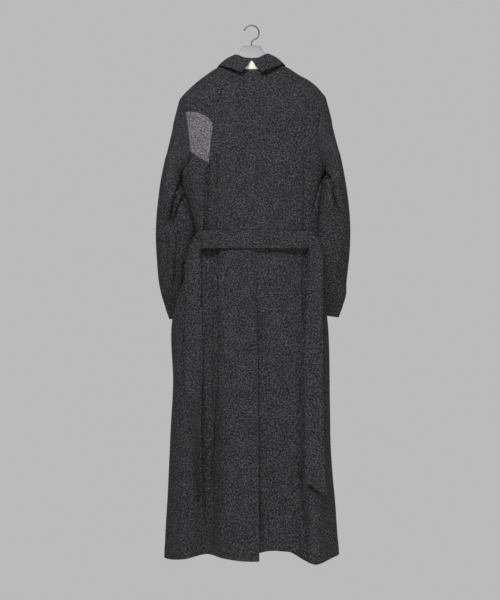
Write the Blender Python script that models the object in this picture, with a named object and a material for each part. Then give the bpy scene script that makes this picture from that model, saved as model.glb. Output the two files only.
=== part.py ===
"""Long wool chesterfield coat hung on a broad hanger, in metres with +Z up.

The origin is the inside of the hook's crown. +X is to the wearer's right, the coat's back faces -Y
and its front faces +Y. Every cloth piece is a thin wall laid on a surface that functions work out
from the tables below.
"""
import math
from collections import namedtuple

import bmesh
import bpy
import numpy as np

for item in list(bpy.data.objects):
    bpy.data.objects.remove(item, do_unlink=True)

# Wall thicknesses and the clearance kept at every seam
CLOTH = 0.0025
COLLAR_CLOTH = 0.0024
STAND_CLOTH = 0.0016
BELT_CLOTH = 0.0034
SEAM_GAP = 0.0003
LAY_GAP = 0.0006

# The body: half widths to each side seam and depths to the back and the front, by height
Section = namedtuple("Section", "z left right back front")
BODY = [
    Section(-0.060, 0.228, 0.232, 0.046, 0.042),
    Section(-0.200, 0.216, 0.221, 0.055, 0.0475),
    Section(-0.300, 0.199, 0.205, 0.061, 0.060),
    Section(-0.390, 0.186, 0.190, 0.064, 0.064),
    Section(-0.470, 0.166, 0.1815, 0.065, 0.064),
    Section(-0.557, 0.146, 0.176, 0.063, 0.061),
    Section(-0.640, 0.171, 0.181, 0.066, 0.061),
    Section(-0.765, 0.206, 0.198, 0.068, 0.060),
    Section(-0.920, 0.204, 0.2025, 0.069, 0.061),
    Section(-1.080, 0.2122, 0.2062, 0.070, 0.062),
    Section(-1.250, 0.2200, 0.2182, 0.071, 0.063),
    Section(-1.385, 0.2265, 0.2275, 0.072, 0.064),
]
ROUNDNESS = 2.2
SHOULDER_ROUND = 0.085
SHOULDER_FALL = 1.05

# The shoulder line on each side, out from the middle, down to the tip
Along = namedtuple("Along", "x z")
SHOULDER = {
    -1: [Along(0.0, -0.064), Along(0.066, -0.1010), Along(0.092, -0.1105), Along(0.121, -0.1300),
         Along(0.142, -0.1455), Along(0.160, -0.1618), Along(0.175, -0.1770), Along(0.187, -0.1915)],
    1: [Along(0.0, -0.064), Along(0.066, -0.0980), Along(0.090, -0.1050), Along(0.126, -0.1280),
        Along(0.152, -0.1435), Along(0.173, -0.1620), Along(0.184, -0.1745), Along(0.193, -0.1840)],
}
NECKLINE = {
    -1: [Along(0.0, -0.1220), Along(0.025, -0.1195), Along(0.045, -0.1130), Along(0.058, -0.1060),
         Along(0.066, -0.1010)],
    1: [Along(0.0, -0.1220), Along(0.025, -0.1185), Along(0.045, -0.1110), Along(0.058, -0.1035),
        Along(0.066, -0.0980)],
}

# Armholes: angle round the body from the centre back, from the shoulder tip to the underarm
Arm = namedtuple("Arm", "degrees z")
ARMHOLE = {
    -1: [Arm(58.6, -0.1915), Arm(51.5, -0.2275), Arm(52.0, -0.2900), Arm(52.5, -0.3305),
         Arm(59.0, -0.3610), Arm(73.0, -0.3840), Arm(90.0, -0.3930)],
    1: [Arm(59.6, -0.1840), Arm(54.0, -0.2200), Arm(53.5, -0.2700), Arm(57.0, -0.3130),
        Arm(64.0, -0.3450), Arm(76.0, -0.3700), Arm(90.0, -0.3800)],
}

# Seams down the back: the centre seam and the curved seam that starts at each armhole
CENTRE_BACK = [Along(0.0, -0.122), Along(0.004, -0.255), Along(0.009, -0.560), Along(0.015, -0.789),
               Along(0.017, -0.966), Along(0.0185, -1.220), Along(0.0195, -1.390)]
BACK_SEAM_ARC = {
    -1: [Along(-0.1480, -0.2296), Along(-0.1264, -0.2364), Along(-0.1080, -0.2485), Along(-0.0983, -0.2658)],
    1: [Along(0.1640, -0.2222), Along(0.1520, -0.2258), Along(0.1440, -0.2310), Along(0.1400, -0.2403)],
}
BACK_SEAM = {
    -1: [Along(-0.0983, -0.2658), Along(-0.1060, -0.3200), Along(-0.1101, -0.3628), Along(-0.1150, -0.4500),
         Along(-0.1175, -0.5287), Along(-0.1238, -0.5848), Along(-0.1250, -0.7500), Along(-0.1238, -1.0440),
         Along(-0.1200, -1.2228), Along(-0.1136, -1.3900)],
    1: [Along(0.1400, -0.2403), Along(0.1372, -0.3200), Along(0.1365, -0.3807), Along(0.1352, -0.4623),
        Along(0.1326, -0.5338), Along(0.1288, -0.7890), Along(0.1186, -1.0186), Along(0.1176, -1.1973),
        Along(0.1330, -1.3249), Along(0.1390, -1.3900)],
}
INSERT_MIDDLE = Along(-0.1407, -0.3430)

# The vent: the right panel runs on under the left one
VENT_TOP = -0.730
VENT_FULL = -0.800
VENT_UNDERLAP = 0.036

# Fronts: closing edge, roll line of the lapel, lapel sizes and its lower end at the roll and at the edge
LapelEnd = namedtuple("LapelEnd", "at_roll at_edge")
FRONT_OVERLAP = 0.032
BREAK_POINT_Z = -0.455
LAPEL_TOP_Z = -0.150
LAPEL_END = {-1: LapelEnd(-0.435, -0.435), 1: LapelEnd(-0.3345, -0.3730)}
LAPEL_WIDTH = 0.078
LAPEL_POINT_DROP = 0.022
LAPEL_END_WIDTH = 0.006
LAPEL_GAP = 0.0010
LAPEL_ROLL_GAP = 0.0004
LAPEL_HOLLOW = 0.85

# Folds: where each one runs at a height, its half width, and how far out it stands (in if below 0)
Fold = namedtuple("Fold", "fold z x half_width out")
BACK_FOLDS = {
    -1: [
        Fold("left hollow", -0.340, -0.112, 0.020, 0.000),
        Fold("left hollow", -0.450, -0.106, 0.022, -0.009),
        Fold("left hollow", -0.560, -0.106, 0.023, -0.012),
        Fold("left hollow", -0.900, -0.108, 0.025, -0.017),
        Fold("left hollow", -1.390, -0.114, 0.030, -0.036),
        Fold("left swell", -0.620, -0.040, 0.060, 0.000), Fold("left swell", -1.000, -0.030, 0.060, 0.010),
        Fold("left swell", -1.390, -0.005, 0.062, 0.026),
        Fold("left side swell", -0.700, -0.172, 0.030, 0.000),
        Fold("left side swell", -1.390, -0.178, 0.034, 0.020),
    ],
    1: [
        Fold("vent hollow", -0.640, 0.012, 0.050, 0.000), Fold("vent hollow", -0.760, 0.012, 0.055, -0.007),
        Fold("vent hollow", -1.000, 0.025, 0.056, -0.014), Fold("vent hollow", -1.390, 0.040, 0.058, -0.032),
        Fold("right hollow", -0.420, 0.126, 0.016, 0.000), Fold("right hollow", -0.560, 0.124, 0.017, -0.005),
        Fold("right hollow", -1.390, 0.110, 0.022, -0.006),
        Fold("right ridge", -0.620, 0.152, 0.030, 0.000), Fold("right ridge", -1.000, 0.154, 0.033, 0.014),
        Fold("right ridge", -1.390, 0.161, 0.036, 0.046),
    ],
}
FRONT_FOLDS = {
    -1: [
        Fold("left front ridge", -0.800, -0.085, 0.040, 0.000),
        Fold("left front ridge", -1.390, -0.100, 0.045, 0.026),
        Fold("left front hollow", -0.800, -0.150, 0.026, 0.000),
        Fold("left front hollow", -1.390, -0.160, 0.028, -0.014),
    ],
    1: [
        Fold("closing step", -0.100, -0.010, 0.075, -0.0055),
        Fold("closing step", -1.390, -0.010, 0.075, -0.0055),
        Fold("right front ridge", -0.800, 0.105, 0.036, 0.000),
        Fold("right front ridge", -1.390, 0.120, 0.040, 0.030),
        Fold("right front hollow", -0.850, 0.165, 0.024, 0.000),
        Fold("right front hollow", -1.390, 0.172, 0.026, -0.010),
    ],
}
FOLD_TAPER = 0.45

# Hem: how far it rises above its lowest level
HEM_LEVEL = -1.3767
Hem = namedtuple("Hem", "x rise")
BACK_HEM = {
    -1: [Hem(-0.2265, -0.004), Hem(-0.205, -0.001), Hem(-0.185, 0.003), Hem(-0.155, 0.007),
         Hem(-0.113, 0.010), Hem(-0.075, 0.008), Hem(-0.040, 0.006), Hem(0.030, 0.0045)],
    1: [Hem(-0.030, 0.0150), Hem(0.020, 0.0155), Hem(0.045, 0.0200), Hem(0.080, 0.0200), Hem(0.100, 0.0180),
        Hem(0.117, 0.0100), Hem(0.137, 0.0030), Hem(0.160, -0.002), Hem(0.175, -0.002), Hem(0.200, 0.0010),
        Hem(0.2275, 0.0045)],
}
FRONT_HEM = {
    -1: [Hem(-0.2265, -0.004), Hem(-0.150, 0.003), Hem(0.060, 0.004)],
    1: [Hem(-0.060, 0.012), Hem(0.150, 0.008), Hem(0.2275, 0.0065)],
}

# Sleeves below the underarm: outer and inner edge, back and front edge, by height
Ring = namedtuple("Ring", "z outer inner back front")
SLEEVE = {
    -1: [Ring(-0.415, 0.2378, 0.1832, -0.058, 0.058), Ring(-0.470, 0.2460, 0.1665, -0.042, 0.068),
         Ring(-0.545, 0.2514, 0.1450, -0.018, 0.090), Ring(-0.610, 0.2496, 0.1510, -0.002, 0.096),
         Ring(-0.670, 0.2460, 0.1600, 0.021, 0.102), Ring(-0.715, 0.2357, 0.1540, 0.034, 0.108),
         Ring(-0.745, 0.2253, 0.1440, 0.044, 0.112), Ring(-0.764, 0.2190, 0.1400, 0.048, 0.114)],
    1: [Ring(-0.402, 0.2434, 0.1897, -0.058, 0.058), Ring(-0.455, 0.2524, 0.1865, -0.042, 0.068),
        Ring(-0.540, 0.2596, 0.1735, -0.020, 0.088), Ring(-0.605, 0.2578, 0.1665, -0.002, 0.096),
        Ring(-0.660, 0.2528, 0.1690, 0.019, 0.100), Ring(-0.715, 0.2488, 0.1640, 0.034, 0.108),
        Ring(-0.742, 0.2390, 0.1570, 0.044, 0.112), Ring(-0.764, 0.2320, 0.1540, 0.048, 0.114)],
}
SLEEVE_ROUNDNESS = 2.3
CAP_FALL = 3.6
CAP_UNDER_FALL = 0.1
CAP_CROWN = 1.5
CAP_END_PULL = 0.8
CAP_END_SPREAD = 0.13
SLEEVE_FOLDS = {
    -1: [
        Fold("left crease", -0.400, -0.190, 0.008, 0.000), Fold("left crease", -0.450, -0.203, 0.009, -0.007),
        Fold("left crease", -0.520, -0.218, 0.010, -0.006), Fold("left crease", -0.580, -0.228, 0.010, 0.000),
    ],
    1: [
        Fold("right crease", -0.390, 0.196, 0.008, 0.000), Fold("right crease", -0.430, 0.206, 0.009, -0.006),
        Fold("right crease", -0.490, 0.221, 0.010, 0.000),
    ],
}
CAP_ROWS = 6
TUBE_ROWS = 11

# Collar by the turn round the neck: top of the stand and lower edge of the leaf (right side)
Collar = namedtuple("Collar", "degrees top_x top_y top_z edge_x edge_y edge_z")
COLLAR = [
    Collar(0.0, 0.000, -0.0500, -0.0970, 0.000, -0.0650, -0.1330),
    Collar(20.0, 0.018, -0.0470, -0.0945, 0.026, -0.0640, -0.1310),
    Collar(45.0, 0.034, -0.0340, -0.0845, 0.055, -0.0500, -0.1175),
    Collar(70.0, 0.043, -0.0140, -0.0780, 0.077, -0.0260, -0.1060),
    Collar(90.0, 0.046, 0.0040, -0.0775, 0.0868, -0.0020, -0.1005),
    Collar(115.0, 0.048, 0.0230, -0.0960, 0.0960, 0.0270, -0.1180),
    Collar(140.0, 0.052, 0.0400, -0.1290, 0.1010, 0.0470, -0.1480),
]
COLLAR_FRONT_Z = -0.150
LEFT_COLLAR_DROP = 0.0030
NOTCH_HALF_WIDTH = 0.0215
NOTCH_TOP = 0.10
LEAF_BULGE = 0.0035
FRONT_COLLAR_SPREAD = 0.0008
COLLAR_FOOT_LIFT = 0.003
COLLAR_TURNS = np.concatenate([np.linspace(0.0, 20.0, 6), np.linspace(20.0, 140.0, 13)[1:]])

# Belt across the back and its hanging ends, which turn down from its two ends
BELT_TOP = -0.5345
BELT_BOTTOM = -0.5805
BELT_LEFT = -0.1300
BELT_RIGHT = 0.1465
BELT_SAG = 0.0010
BELT_BOW = 0.062
BELT_BOW_REACH = 0.030
BELT_BOW_ROUNDNESS = 2.6
Tail = namedtuple("Tail", "inner_x inner_z outer_x outer_z turn")
TAIL = {
    -1: [Tail(-0.1303, -0.5800, -0.1303, -0.5350, 0.000), Tail(-0.1305, -0.5816, -0.1380, -0.5385, 0.000),
         Tail(-0.1306, -0.5832, -0.1448, -0.5470, 0.000), Tail(-0.1306, -0.5850, -0.1530, -0.5620, 0.000),
         Tail(-0.1306, -0.5900, -0.1600, -0.5860, 0.000), Tail(-0.1294, -0.6363, -0.1640, -0.6363, 0.000),
         Tail(-0.1281, -0.7124, -0.1664, -0.7124, 0.000), Tail(-0.1248, -0.8391, -0.1712, -0.8391, 0.000),
         Tail(-0.1248, -0.9000, -0.1699, -0.9000, 0.006), Tail(-0.1248, -0.9659, -0.1623, -0.9659, 0.022),
         Tail(-0.1248, -1.0318, -0.1535, -1.0318, 0.032), Tail(-0.1240, -1.1205, -0.1426, -1.1205, 0.038),
         Tail(-0.1236, -1.2270, -0.1310, -1.2230, 0.041)],
    1: [Tail(0.1468, -0.5800, 0.1468, -0.5350, 0.000), Tail(0.1470, -0.5816, 0.1560, -0.5380, 0.000),
        Tail(0.1467, -0.5832, 0.1650, -0.5450, 0.000), Tail(0.1465, -0.5850, 0.1745, -0.5575, 0.000),
        Tail(0.1462, -0.5900, 0.1812, -0.5750, 0.000), Tail(0.1452, -0.6150, 0.1845, -0.6113, 0.000),
        Tail(0.1401, -0.7124, 0.1820, -0.7124, 0.000), Tail(0.1358, -0.8135, 0.1818, -0.8135, 0.000),
        Tail(0.1350, -0.9650, 0.1830, -0.9650, 0.000), Tail(0.1350, -1.0913, 0.1843, -1.0913, 0.000),
        Tail(0.1338, -1.1720, 0.1875, -1.2080, 0.000)],
}
TAIL_ROWS = 24
TAIL_CLEARANCE = 0.0030

# Hanger: top and bottom line and half depth, out from the middle; wire hook
Bar = namedtuple("Bar", "x top bottom half_depth")
HANGER_NECK = [Bar(0.000, -0.0507, -0.150, 0.0090), Bar(0.0180, -0.0507, -0.150, 0.0090),
               Bar(0.0232, -0.0530, -0.150, 0.0090), Bar(0.0290, -0.0620, -0.151, 0.0092),
               Bar(0.0350, -0.0735, -0.152, 0.0095), Bar(0.0400, -0.0890, -0.153, 0.0095),
               Bar(0.0460, -0.1065, -0.154, 0.0100)]
HANGER_REST = 0.0730
HANGER_END = 0.166
HANGER_HEIGHT = 0.046
HANGER_END_HEIGHT = 0.032
HANGER_HALF_DEPTH = 0.0085
HANGER_END_HALF_DEPTH = 0.0080
HANGER_CLEARANCE = 0.0012
HOOK_RADIUS = 0.0195
HOOK_WIRE = 0.0019
HOOK_TIP_DEGREES = 166.0
HOOK_LOW_DEGREES = -46.0
HOOK_STEM = 0.0085

# Grid counts
BACK_COLUMNS = 8
SIDE_COLUMNS = 8
FRONT_COLUMNS = 10
ARM_BACK_ROWS = 3
ARC_ROWS = 4
INSERT_ROWS = 3
ARM_SIDE_ROWS = 4
SKIRT_ROWS = 17
FRONT_YOKE_ROWS = 9
SHOULDER_CROWD = 1.5
SKIRT_CROWD = 1.15
UNDERARM_STEP = 0.012
ARM_SEAM_COLUMNS = 5
LAPEL_ROWS = 12
LAPEL_COLUMNS = 6
BELT_COLUMNS = 24
HANGER_SIDES = 12


def spline(knots, values, at):
    """Smooth curve through values at rising knots, held flat beyond both ends."""
    knots = np.asarray(knots, float)
    values = np.asarray(values, float)
    at = np.clip(np.asarray(at, float), knots[0], knots[-1])
    slopes = np.gradient(values, knots)
    k = np.clip(np.searchsorted(knots, at, side="right") - 1, 0, len(knots) - 2)
    width = knots[k + 1] - knots[k]
    t = (at - knots[k]) / width
    return (values[k] * (2 * t**3 - 3 * t**2 + 1) + values[k + 1] * (3 * t**2 - 2 * t**3)
            + slopes[k] * width * (t**3 - 2 * t**2 + t) + slopes[k + 1] * width * (t**3 - t**2))


def by_height(rows, column, z):
    """A table's column as a smooth function of height, for rows that run downwards."""
    return spline([-row.z for row in rows], [getattr(row, column) for row in rows], -np.asarray(z, float))


def smoothstep(t):
    t = np.clip(t, 0.0, 1.0)
    return t * t * (3.0 - 2.0 * t)


def shoulder_z(x):
    """Height of the shoulder line, with its slope carried on past the tips."""
    x = np.asarray(x, float)
    heights = np.zeros(x.shape)
    for side, rows in SHOULDER.items():
        out = np.abs(x)
        line = spline([row.x for row in rows], [row.z for row in rows], out)
        line = line - SHOULDER_FALL * np.maximum(0.0, out - rows[-1].x)
        heights = np.where(np.sign(x + 1e-12) == side, line, heights)
    return heights


def fold_out(rows, x, z):
    """Sum of the folds that pass through a point, as a distance out of the cloth."""
    total = np.zeros(np.broadcast(x, z).shape)
    for name in dict.fromkeys(row.fold for row in rows):
        knots = [row for row in rows if row.fold == name]
        depths = [-row.z for row in knots]
        centre, width, out = (np.interp(-z, depths, [getattr(row, column) for row in knots])
                              for column in ("x", "half_width", "out"))
        total = total + out * np.exp(-((x - centre) / width) ** 2)
    return total


def body_point(side, angle, z):
    """Point of the coat's outer surface; angle 0 is the centre back, 90 degrees the right side seam."""
    angle, z = np.broadcast_arrays(np.asarray(angle, float), np.asarray(z, float))
    sine, cosine = np.sin(angle), np.cos(angle)
    half = np.where(sine < 0, by_height(BODY, "left", z), by_height(BODY, "right", z))
    x = np.sign(sine) * half * np.abs(sine) ** (2.0 / ROUNDNESS)
    drop = np.clip((shoulder_z(x) - z) / SHOULDER_ROUND, 0.0, 1.0)
    rounding = np.sqrt(drop * (2.0 - drop))
    flat = np.abs(cosine) ** (2.0 / ROUNDNESS) * rounding
    taper = smoothstep(np.abs(cosine) / FOLD_TAPER) * rounding
    back = -by_height(BODY, "back", z) * flat - taper * fold_out(BACK_FOLDS[side], x, z)
    front = by_height(BODY, "front", z) * flat + taper * fold_out(FRONT_FOLDS[side], x, z)
    return np.stack([x, np.where(cosine >= 0, back, front), z], axis=-1)


def body_normal(side, angle, z):
    """Outward direction of the coat's surface, taken just below the point."""
    step = 1.0e-5
    z = np.asarray(z, float) - 2.0 * step
    across = body_point(side, angle + step, z) - body_point(side, angle - step, z)
    down = body_point(side, angle, z - step) - body_point(side, angle, z + step)
    normal = np.cross(across, down)
    return -normal / np.linalg.norm(normal, axis=-1, keepdims=True)


def back_angle(x, z):
    """Angle of the point of the back at a place across the coat."""
    half = np.where(np.asarray(x) < 0, by_height(BODY, "left", z), by_height(BODY, "right", z))
    return np.sign(x) * np.arcsin(np.clip(np.abs(x) / half, 0.0, 1.0) ** (ROUNDNESS / 2.0))


def front_angle(side, x, z):
    """The same on the front."""
    return side * math.pi - back_angle(x, z)


def lines(*points):
    """Rows of (angle, z) pairs."""
    return np.stack(np.broadcast_arrays(*points), axis=-1).astype(float)


def coons(top, bottom, left, right, crowd=1.0):
    """Grid of (angle, z) pairs blended between four border rows, its rows crowded towards the top."""
    u = np.linspace(0.0, 1.0, len(top))[None, :, None]
    v = (np.linspace(0.0, 1.0, len(left)) ** crowd)[:, None, None]
    return ((1 - v) * top[None] + v * bottom[None] + (1 - u) * left[:, None] + u * right[:, None]
            - (1 - u) * (1 - v) * top[0] - u * (1 - v) * top[-1]
            - (1 - u) * v * bottom[0] - u * v * bottom[-1])


def finish(name, mesh, slot, colour, roughness, metallic=0.0):
    """Object with its own material."""
    material = bpy.data.materials.new(slot + "_" + name)
    material.use_nodes = True
    shader = material.node_tree.nodes["Principled BSDF"]
    shader.inputs["Base Color"].default_value = (*colour, 1.0)
    shader.inputs["Roughness"].default_value = roughness
    shader.inputs["Metallic"].default_value = metallic
    mesh.materials.append(material)
    piece = bpy.data.objects.new(name, mesh)
    bpy.context.scene.collection.objects.link(piece)
    return piece


def drawn_in(grid, edges, gap):
    """Grid with the named edges moved towards its middle by half a seam gap."""
    moved = grid.copy()
    for edge in edges:
        rows = {"top": (moved[0], moved[1]), "bottom": (moved[-1], moved[-2]),
                "left": (moved[:, 0], moved[:, 1]), "right": (moved[:, -1], moved[:, -2])}[edge]
        inward = rows[1] - rows[0]
        rows[0][...] = rows[0] + 0.5 * gap * inward / np.linalg.norm(inward, axis=-1, keepdims=True)
    return moved


def wall(name, outer, inner, slot, colour, roughness):
    """Closed wall between an outer and an inner grid of points."""
    rows, columns = outer.shape[:2]
    work = bmesh.new()
    verts = [[[work.verts.new(point) for point in row] for row in grid] for grid in (outer, inner)]
    for i in range(rows - 1):
        for j in range(columns - 1):
            a, b = verts[0], verts[1]
            work.faces.new((a[i][j], a[i + 1][j], a[i + 1][j + 1], a[i][j + 1]))
            work.faces.new((b[i][j], b[i][j + 1], b[i + 1][j + 1], b[i + 1][j]))
    border = [(0, j) for j in range(columns - 1)] + [(i, columns - 1) for i in range(rows - 1)]
    border += [(rows - 1, j) for j in range(columns - 1, 0, -1)] + [(i, 0) for i in range(rows - 1, 0, -1)]
    for here, after in zip(border, border[1:] + border[:1]):
        work.faces.new((verts[0][here[0]][here[1]], verts[0][after[0]][after[1]],
                        verts[1][after[0]][after[1]], verts[1][here[0]][here[1]]))
    bmesh.ops.recalc_face_normals(work, faces=work.faces)
    mesh = bpy.data.meshes.new(name)
    work.to_mesh(mesh)
    work.free()
    return finish(name, mesh, slot, colour, roughness)


# Colours and the roughness of the cloth
WOOL_ROUGHNESS = 0.9
WOOL = (0.045, 0.045, 0.050)
PALE_CLOTH = (0.24, 0.22, 0.24)
CREAM = (0.70, 0.66, 0.56)
PALE_GREY = (0.47, 0.48, 0.50)
DARK_METAL = (0.10, 0.10, 0.11)


def body_panel(name, side, grid, edges, slot="wool", colour=WOOL):
    """Wall of the coat's body over a grid of (angle, z) pairs."""
    outer = drawn_in(body_point(side, grid[..., 0], grid[..., 1]), edges, SEAM_GAP)
    normal = body_normal(side, grid[..., 0], grid[..., 1])
    return wall(name, outer, outer - CLOTH * normal, slot, colour, WOOL_ROUGHNESS)


def seam_x(rows, z):
    return by_height(rows, "x", z)


def hem_z(rows, x):
    return HEM_LEVEL + np.interp(x, [row.x for row in rows], [row.rise for row in rows])


def skirt_heights(start, end, rows=SKIRT_ROWS):
    """Row heights, closer together near the waist than at the hem."""
    return start + (end - start) * np.linspace(0.0, 1.0, rows + 1) ** SKIRT_CROWD


def arm_edge(side, start, end, rows):
    """Rows of (angle, z) along the back of an armhole, between two shares of it, closer near the tip."""
    table = ARMHOLE[side]
    shares = np.linspace(0.0, 1.0, len(table))
    at = start + (end - start) * np.linspace(0.0, 1.0, rows + 1) ** (SHOULDER_CROWD if start == 0.0 else 1.0)
    tip = SHOULDER[side][-1]
    degrees = [math.degrees(abs(back_angle(side * tip.x, tip.z)))] + [row.degrees for row in table[1:]]
    return lines(side * np.radians(spline(shares, degrees, at)), spline(shares, [row.z for row in table], at))


def arm_front_edge(side, start, end, rows):
    """The same on the front of the armhole, from the tip down."""
    edge = arm_edge(side, start, end, rows)
    edge[:, 0] = side * math.pi - edge[:, 0]
    return edge


# Shares of the armhole table where the back seam and the insert's lower edge meet it
SEAM_SHARE = 1.0 / 6.0
INSERT_SHARE = 0.5


def neck_and_shoulder(side, columns):
    """Top border of a back panel, from the centre back round the neck to the shoulder tip."""
    neck, shoulder = NECKLINE[side], SHOULDER[side]
    reach = np.linspace(0.0, shoulder[-1].x, columns + 1)
    reach[np.argmin(np.abs(reach - neck[-1].x))] = neck[-1].x
    on_neck = spline([row.x for row in neck], [row.z for row in neck], reach)
    z = np.where(reach <= neck[-1].x, on_neck, shoulder_z(side * reach))
    return lines(back_angle(side * reach, z), z)


def back_panel(side):
    """Half of the back, from the centre seam to the curved back seam."""
    yoke_rows = ARM_BACK_ROWS + ARC_ROWS
    arc = lines(*np.array([(back_angle(row.x, row.z), row.z) for row in BACK_SEAM_ARC[side]]).T)
    outer_edge = np.concatenate([arm_edge(side, 0.0, SEAM_SHARE, ARM_BACK_ROWS), arc])
    top = neck_and_shoulder(side, BACK_COLUMNS)
    z_top, z_yoke = top[0, 1], arc[-1, 1]
    z_centre = z_top + (z_yoke - z_top) * np.linspace(0.0, 1.0, yoke_rows + 1) ** SHOULDER_CROWD
    centre = lines(back_angle(seam_x(CENTRE_BACK, z_centre), z_centre), z_centre)
    across = np.linspace(0.0, 1.0, BACK_COLUMNS + 1)
    row_x = seam_x(CENTRE_BACK, z_yoke) * (1 - across) + arc_x(side) * across
    yoke = coons(top, lines(back_angle(row_x, z_yoke), z_yoke), centre, outer_edge, SHOULDER_CROWD)

    z, share = seam_heights(side)
    inner_x = seam_x(CENTRE_BACK, z)
    if side > 0:
        inner_x = inner_x - VENT_UNDERLAP * smoothstep((VENT_TOP - z) / (VENT_TOP - VENT_FULL))
    outer_x = seam_x(BACK_SEAM[side], z)
    x = inner_x[:, None] * (1 - across) + outer_x[:, None] * across
    z = z[:, None] + share[:, None] * (hem_z(BACK_HEM[side], x) - HEM_LEVEL)
    skirt = lines(back_angle(x, z), z)
    return np.concatenate([yoke, skirt[1:]])


def arc_x(side):
    return BACK_SEAM_ARC[side][-1].x


def insert_lower_edge(columns):
    """Border between the insert and the panel below it, from the armhole to the back seam."""
    start = arm_edge(-1, INSERT_SHARE, INSERT_SHARE, 0)[0]
    start_x = body_point(-1, start[0], start[1])[0]
    end = BACK_SEAM[-1][2]
    x = spline([0, 0.5, 1], [start_x, INSERT_MIDDLE.x, end.x], np.linspace(0, 1, columns + 1))
    z = spline([0, 0.5, 1], [start[1], INSERT_MIDDLE.z, end.z], np.linspace(0, 1, columns + 1))
    return lines(back_angle(x, z), z)


def seam_arc(side, columns):
    """Upper run of the back seam, from the armhole inwards."""
    start = arm_edge(side, SEAM_SHARE, SEAM_SHARE, 0)[0]
    arc = [(start[0], start[1])] + [(back_angle(row.x, row.z), row.z) for row in BACK_SEAM_ARC[side]]
    at = np.linspace(0.0, 1.0, len(arc))
    to = np.linspace(0.0, 1.0, columns + 1)
    return lines(np.interp(to, at, [a for a, _ in arc]), np.interp(to, at, [z for _, z in arc]))


def seam_heights(side):
    """Heights shared by the panels on both sides of the back seam, down from its arc, and their hem share."""
    start = BACK_SEAM_ARC[side][-1].z
    level = ARMHOLE[side][-1].z - UNDERARM_STEP
    if side < 0:
        insert_end = BACK_SEAM[side][2].z
        upper = np.concatenate([np.linspace(start, insert_end, INSERT_ROWS + 1)[:-1],
                                np.linspace(insert_end, level, ARM_SIDE_ROWS + 1)])
    else:
        upper = np.linspace(start, level, INSERT_ROWS + ARM_SIDE_ROWS + 1)
    z = np.concatenate([upper, skirt_heights(level, HEM_LEVEL)[1:]])
    return z, np.clip((level - z) / (level - HEM_LEVEL), 0.0, 1.0)


def on_back_seam(side, z):
    return lines(back_angle(seam_x(BACK_SEAM[side], z), z), z)


def insert_panel():
    top, bottom = seam_arc(-1, ARC_ROWS), insert_lower_edge(ARC_ROWS)
    z = seam_heights(-1)[0][:INSERT_ROWS + 1]
    return coons(top, bottom, arm_edge(-1, SEAM_SHARE, INSERT_SHARE, INSERT_ROWS), on_back_seam(-1, z))


def side_panel(side):
    """Side of the back, from the armhole and the side seam to the curved back seam."""
    if side < 0:
        top = insert_lower_edge(SIDE_COLUMNS)
        edge = arm_edge(side, INSERT_SHARE, 1.0, ARM_SIDE_ROWS)
    else:
        top = seam_arc(side, SIDE_COLUMNS)
        edge = arm_edge(side, SEAM_SHARE, 1.0, INSERT_ROWS + ARM_SIDE_ROWS)
    underarm = edge[-1, 1]
    z_seam, share = seam_heights(side)
    z_seam, share = z_seam[-SKIRT_ROWS - len(edge):], share[-SKIRT_ROWS - 1:]
    z_yoke, z_skirt = z_seam[:len(edge)], z_seam[-SKIRT_ROWS - 1:]
    across = np.linspace(0.0, 1.0, SIDE_COLUMNS + 1)
    level = z_yoke[-1]
    seam_angle = on_back_seam(side, level)[0]
    bottom = lines(edge[-1, 0] * (1 - across) + seam_angle * across, underarm * (1 - across) + level * across)
    yoke = coons(top, bottom, edge, on_back_seam(side, z_yoke))

    z = skirt_heights(underarm, HEM_LEVEL)[:, None] * (1 - across) + z_skirt[:, None] * across
    seam_z = z_skirt + share * (hem_z(BACK_HEM[side], seam_x(BACK_SEAM[side], z_skirt)) - HEM_LEVEL)
    seam_angle = back_angle(seam_x(BACK_SEAM[side], z_skirt), seam_z)
    angle = side * 0.5 * math.pi * (1 - across) + seam_angle[:, None] * across
    x = np.where(across < 1.0, body_point(side, angle, z)[..., 0], seam_x(BACK_SEAM[side], z))
    skirt = lines(angle, z + share[:, None] * (hem_z(BACK_HEM[side], x) - HEM_LEVEL))
    return np.concatenate([yoke, skirt[1:]])


def roll_x(side, z):
    """Folded edge of a lapel, straight from the neck point to the break point."""
    neck = NECKLINE[side][-1]
    share = np.clip((neck.z - np.asarray(z, float)) / (neck.z - BREAK_POINT_Z), 0.0, 1.0)
    return side * (neck.x - (neck.x + FRONT_OVERLAP) * share)


def front_panel(side):
    """Half of the front, from its closing edge to the side seam."""
    edge = arm_front_edge(side, 0.0, 1.0, FRONT_YOKE_ROWS)
    neck, tip = SHOULDER[side][1], SHOULDER[side][-1]
    across = np.linspace(0.0, 1.0, FRONT_COLUMNS + 1)
    reach = neck.x + (tip.x - neck.x) * across
    z = shoulder_z(side * reach)
    top = lines(front_angle(side, side * reach, z), z)
    underarm = edge[-1, 1]
    z_neck = NECKLINE[side][-1].z
    z = z_neck + (underarm - z_neck) * np.linspace(0.0, 1.0, FRONT_YOKE_ROWS + 1) ** SHOULDER_CROWD
    inner = lines(front_angle(side, roll_x(side, z), z), z)
    bottom = lines(inner[-1, 0] * (1 - across) + edge[-1, 0] * across, underarm)
    yoke = coons(top, bottom, inner, edge, SHOULDER_CROWD)

    z = skirt_heights(underarm, HEM_LEVEL)
    inner_angle = front_angle(side, roll_x(side, z), z)[:, None]
    angle = inner_angle * (1 - across) + side * 0.5 * math.pi * across
    x = body_point(side, angle, z[:, None])[..., 0]
    share = ((underarm - z) / (underarm - HEM_LEVEL))[:, None]
    skirt = lines(angle, z[:, None] + share * (hem_z(FRONT_HEM[side], x) - HEM_LEVEL))
    return np.concatenate([yoke, skirt[1:]])


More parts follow.
